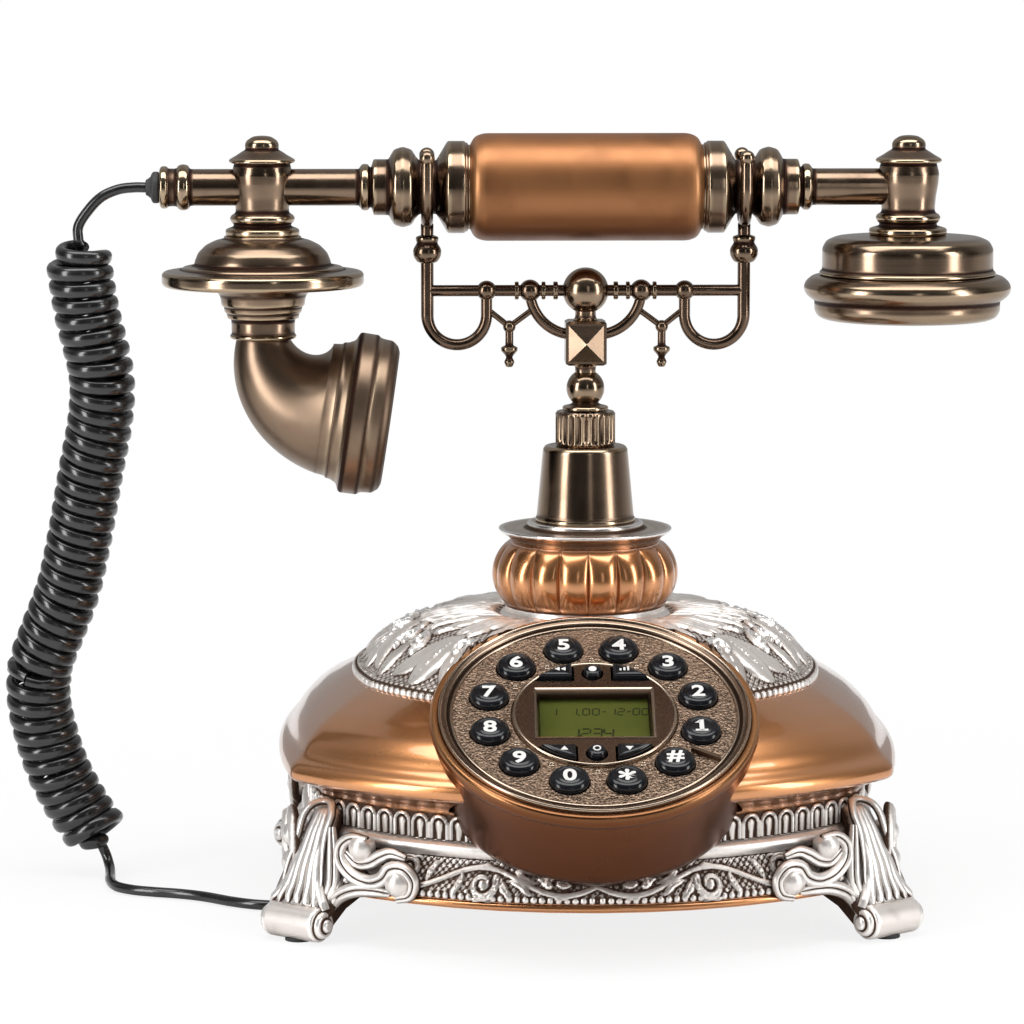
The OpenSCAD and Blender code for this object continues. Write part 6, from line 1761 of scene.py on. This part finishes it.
@dataclass
class Dial:
    """Drum, bezel, plate, display and keys, all in the dial's own axes."""

    drum_r: float = 47.2
    bezel_r: float = 44.8
    ring_r: float = 31.1
    trim_r: float = 25.9
    key_r: float = 5.65
    first_key: float = -15
    numeral_z: float = 2.6
    sign_rise: float = 0.22
    lcd_w: float = 33
    lcd_h: float = 22
    panel_z: float = -2.99
    segment_rise: float = 0.06

    def drum(self) -> None:
        """The copper drum: a hollow turned cup with a rolled lip, open to the keys' stems and the board."""
        r, lip = self.drum_r, self.bezel_r
        section = [[0, -32], [r - 9, -32], [r - 6, -29], [r - 3, -25], [r - 0.4, -3.4], [r, -2.6], [r, -0.4],
            [r - 0.5, 0.5], [r - 1.4, 0.7], [lip, 0.5], [lip, -2], [lip - 0.4, -3], [r - 2.4, -3.6],
            [r - 5.6, -24], [r - 9, -30], [0, -30]]
        form = turned(section, DIAL, 192, 1.4)
        enter(make_object("dial_drum_lacquered", form, 60), "base", COPPER_DRUM, "dial_drum")

    def bezel(self) -> None:
        """The polished bezel: an outer roll, a broad slope and a groove beside a fine inner roll."""
        section = [[40.5, -2], [40.5, -0.2], [40.7, 0.5], [41.1, 0.62], [41.5, 0.45], [41.7, 0.1], [42, 0.1],
            [42.5, 0.9], [43.6, 1.15], [44, 1.6], [44.4, 1.8], [44.75, 1.5], [self.bezel_r, 1],
            [self.bezel_r, -2]]
        form = turned(section, DIAL, 192, 0.25, True)
        enter(make_object("dial_bezel_polished", form, 70), "base", BEZEL, "dial_bezel")

    def plate_trim(self) -> None:
        """Raised lines and small embossed rings on the plate."""
        edge = [[22.6, 0.3], [22.7, 0.95], [23.2, 1.15], [23.65, 0.9], [23.8, 0.2], [23.8, -0.4],
            [22.6, -0.4]]
        form = turned(edge, DIAL, 160, 0.2, True)
        ring = [[0.45, -0.3], [0.95, -0.3], [0.95, 0.2], [0.7, 0.34], [0.45, 0.2]]
        for angle in (60, 90, 120, 30, 150, 210, 270, 330, 300, 240):
            a = math.radians(angle)
            place = Place((self.trim_r * math.cos(a), self.trim_r * math.sin(a), 0))
            form = form + turned(ring, place, 24, 0.1, True).put(DIAL)
        enter(make_object("dial_plate_trim", form, 60), "base", BEZEL)

    def window(self) -> None:
        """The bevelled frame of the display and its segments."""
        w, h = self.lcd_w / 2, self.lcd_h / 2
        rows = [(0.9, 0.85), (0.5, 1.15), (0.0, 1.0), (-0.6, -0.4), (-0.9, -1.9), (0.9, -1.9)]
        corner = np.array([[1, -1], [1, 1], [-1, 1], [-1, -1]], float)
        grid = np.stack([at_height(corner * [w + out, h + out], z) for out, z in rows])
        bevel = skin(grid, np.array([0.5, 0.85, 0.7, 0.3, 0.1, 0.1])[:, None], True).put(DIAL)
        enter(make_object("display_frame", bevel, 20), "base", BEZEL)
        enter(make_object("display_segments", self.segments().put(DIAL), 20), "base",
            LCD_DARK)

    def bar(self, x: float, y: float, w: float, h: float) -> Form:
        """A thin flat bar on the panel, leaning a little to the right."""
        c = np.array([[-w, -h], [w, -h], [w, h], [-w, h]]) / 2 + [x, y]
        c[:, 0] += 0.08 * c[:, 1]
        return slab(c, self.panel_z, self.panel_z + self.segment_rise)

    def digit(self, sign: int, x: float, y: float, size: float) -> list[Form]:
        """A seven-segment digit: each bit of the sign's code lights a bar."""
        lit = SEGMENT_CODES[sign]
        t, w, h = size * 0.13, size * 0.5, size * 0.5
        out, tall = w / 2 + t / 2, h * 0.86
        bars = [(0, h, w, t), (out, h / 2, t, tall), (out, -h / 2, t, tall), (0, -h, w, t),
            (-out, -h / 2, t, tall), (-out, h / 2, t, tall), (0, 0, w, t)]
        return [self.bar(x + b[0], y + b[1], b[2] * 0.92, b[3]) for i, b in enumerate(bars) if lit >> i & 1]

    def segments(self) -> Form:
        """A small upper row and a larger lower row of digits."""
        forms = []
        for sign, x in ((1, -12), (1, -6.2), (0, -2.6), (0, 0.2), (1, 4.8), (2, 7.4), (0, 11.8), (0, 14.4)):
            forms += self.digit(sign, x, 5.4, 2.9)
        for sign, x in ((1, -4.2), (2, -0.9), (3, 2.4), (4, 5.7)):
            forms += self.digit(sign, x - 1.4, -4.6, 4.2)
        forms += [self.bar(-4.6, 3.9, 0.5, 0.5), self.bar(2.6, 5.4, 1, 0.4), self.bar(9.7, 5.4, 1.2, 0.4)]
        return merged(forms)

    def number_key(self, x: float, y: float) -> Form:
        """A domed number key: rounded shoulder, shallow groove and a low crown."""
        r = self.key_r
        section = [[0, -4], [r - 2, -4], [r - 2, -3.1], [r + 0.8, -3.1], [r + 0.8, -2.3], [r, -2.3], [r, 1.0],
            [r - 0.35, 1.75], [r - 1.2, 2.3], [r - 1.9, 2.42], [r - 2.1, 2.34], [r - 2.4, 2.42],
            [r - 2.9, 2.56], [0, 2.6]]
        return turned(section, Place((x, y, 0)), 64, 0.7).put(DIAL)

    def one(self, x: float, y: float, size: float) -> Form:
        """A figure one in three overlapping plates: its stem, its foot and its flag."""
        stem = ((-0.08, -0.36), (0.11, -0.36), (0.11, 0.37), (-0.08, 0.37))
        foot = ((-0.25, -0.37), (0.27, -0.37), (0.27, -0.25), (-0.25, -0.25))
        flag = ((-0.26, 0.16), (-0.08, 0.18), (0.02, 0.37), (-0.04, 0.37))
        z = self.numeral_z
        return merged([slab(np.array(plate) * size + [x, y], z, z + 0.12) for plate in (stem, foot, flag)])

    def lettering(self, name: str, text: str, x: float, y: float, size: float) -> Piece:
        """A raised numeral, made a mesh and carried into the dial's axes.

        Args:
            name: The piece's name.
            text: The numeral or sign.
            x: Place across the dial.
            y: Place up the dial.
            size: Height of the type.
        Returns:
            The object.
        """
        if text == "1":
            return make_object(name, self.one(x, y, size).put(DIAL), 30)
        data = bpy.data.curves.new(name, "FONT")
        data.body, data.size, data.align_x, data.align_y = text, size, "CENTER", "CENTER"
        data.extrude, data.offset, data.resolution_u = 0.06, 0.2, 6
        source = bpy.data.objects.new(name + "_source", data)
        bpy.context.scene.collection.objects.link(source)
        mesh = bpy.data.meshes.new_from_object(source.evaluated_get(bpy.context.evaluated_depsgraph_get()))
        bpy.data.objects.remove(source)
        co = np.empty(len(mesh.vertices) * 3, np.float32)
        mesh.vertices.foreach_get("co", co)
        co = co.reshape(-1, 3).astype(float)
        co[:, :2] -= (co[:, :2].max(axis=0) + co[:, :2].min(axis=0)) / 2
        co = DIAL.put(co * [1.12, 1, 1] + [x, y, self.numeral_z]) * MM
        mesh.vertices.foreach_set("co", co.astype(np.float32).ravel())
        mesh.update()
        piece = bpy.data.objects.new(name, mesh)
        bpy.context.scene.collection.objects.link(piece)
        return piece

    def number_keys(self) -> None:
        """Twelve keys round the plate, each with its numeral."""
        signs = ["1", "2", "3", "4", "5", "6", "7", "8", "9", "0", "*", "#"]
        names = signs[:10] + ["star", "hash"]
        for i, (sign, name) in enumerate(zip(signs, names)):
            a = math.radians(self.first_key + 30 * i)
            x, y = self.ring_r * math.cos(a), self.ring_r * math.sin(a)
            body = "key_" + name
            enter(make_object("cap_" + name, self.number_key(x, y), 60), body, KEY_BLACK, body)
            mark = self.lettering("numeral_" + name, sign, x, y, 10 if sign == "*" else 6.9)
            enter(mark, body, KEY_WHITE)

    def cushioned(self, outline: Array) -> Form:
        """A key cap over an outline: straight sides, a soft shoulder and a low crown towards its middle."""
        centre = outline.mean(axis=0)
        shares, z = (0, 0, 0.05, 0.12, 0.25, 0.5, 0.8, 0.97), (-3, 1.6, 2.15, 2.42, 2.56, 2.66, 2.7, 2.7)
        return skin(np.stack([at_height(outline + (centre - outline) * k, h) for k, h in zip(shares, z)]))

    def wedge(self, across: int, up: int) -> Array:
        """The outline of a key between the display, the middle key and the raised ring."""
        r, u, v = 22.3, 5.9, 15.7
        a = np.linspace(math.asin(v / r), math.acos(u / r), 24)
        arc = np.stack([r * np.cos(a), r * np.sin(a)], axis=1)
        base = np.stack([np.linspace(u, r * math.cos(a[0]), 12)[:-1], np.full(11, v)], axis=1)
        rise = np.stack([np.full(8, u), np.linspace(r * math.sin(a[-1]), v, 10)[1:-1]], axis=1)
        line = np.vstack([base, arc, rise]) * [across, up]
        line = dense(fillet(np.vstack([line, line[:1]]), 0.4, 3), 0.5)[:-1]
        return line if across * up > 0 else line[::-1]

    def oval(self, v: float) -> Array:
        """The outline of a round middle key."""
        a = np.linspace(0, TAU, 40, endpoint=False)
        return np.stack([2.65 * np.cos(a), v + 2.65 * np.sin(a)], axis=1)

    def sign(self, legend: Legend, x: float, y: float) -> Form:
        """A plain sign in thin raised bars or rings at a place on a key."""
        low, high = self.numeral_z, self.numeral_z + self.sign_rise
        left = [(-0.9, 0), (0.5, -0.85), (0.5, 0.85)]
        bars = [(-1.4 + 1.1 * k, -0.8 + 1.1 * k, 0.1 + 0.5 * k) for k in range(3)]
        shapes = {
            Legend.TWO_LEFT: [[(a + shift, b) for a, b in left] for shift in (-0.8, 0.9)],
            Legend.BARS: [[(a, -0.8), (b, -0.8), (b, top), (a, top)] for a, b, top in bars],
            Legend.UP: [[(-1.1, -0.75), (1.1, -0.75), (0, 0.95)]],
            Legend.DOWN: [[(-1.1, 0.75), (0, -0.95), (1.1, 0.75)]],
        }
        if legend in shapes:
            return merged([slab(np.array(plate, float) + [x, y], low, high) for plate in shapes[legend]])
        inner = 0.0 if legend is Legend.DOT else 0.75
        section = [[inner, low], [1.15, low], [1.15, high], [inner, high]]
        return turned(section, Place((x, y, 0)), 32, 0, legend is Legend.RING)

    def function_keys(self) -> None:
        """Six keys above and below the display, each with a plain sign."""
        keys = (("redial", Legend.TWO_LEFT, -1, 1), ("set", Legend.DOT, 0, 1), ("speaker", Legend.BARS, 1, 1),
            ("up", Legend.UP, -1, -1), ("out", Legend.RING, 0, -1), ("down", Legend.DOWN, 1, -1))
        for name, legend, across, up in keys:
            body = "key_" + name
            outline = self.wedge(across, up) if across else self.oval(18.5 * up)
            cap = make_object("cap_" + name, self.cushioned(outline).put(DIAL), 60)
            enter(cap, body, KEY_BLACK, body)
            mark = make_object("sign_" + name, self.sign(legend, 9.2 * across, 18.3 * up).put(DIAL), 20)
            enter(mark, body, KEY_WHITE)

    def build(self) -> None:
        """Makes the pieces."""
        self.drum()
        self.bezel()
        self.plate_trim()
        self.window()
        self.number_keys()
        self.function_keys()


# ---- What stays as it was drawn ----


KEPT_NODES = (
    (COPPER_TRAY, ("base_tray",)),
    (PLATE, ("dial_plate",)),
    (BEZEL_PLAIN, ("finger_stop",)),
    (STEEL, ("stem_tube", "hook_spring", "base_screws")),
    (BOARD, ("key_board", "main_board")),
    (DARK_STEEL, ("ringer", "receiver", "microphone")),
    (JACK, ("line_jack",)),
    (RUBBER, ("foot_pads", "cord_grommet")),
    (LCD_GLASS, ("lcd_lens",)),
    (LCD_GREEN, ("lcd_module",)),
)


def dress_kept_nodes() -> None:
    """Gives every node that still shows its finish."""
    for finish, names in KEPT_NODES:
        for name in names:
            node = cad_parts[name]
            node.data.materials.clear()
            node.data.materials.append(finish.material())
            log.info("%s: kept, %s", name, finish.name)


def main() -> None:
    """Builds the studio, the cords, each sub-assembly and the kept nodes, in order."""
    logging.basicConfig(level=logging.INFO, format="%(name)s: %(message)s")
    Studio().build()
    Cord().build()
    Body().build()
    Ornament().build()
    Foot().build()
    Stem().build()
    Cradle().build()
    Handset().build()
    Dial().build()
    dress_kept_nodes()


if __name__ == "__main__":
    main()
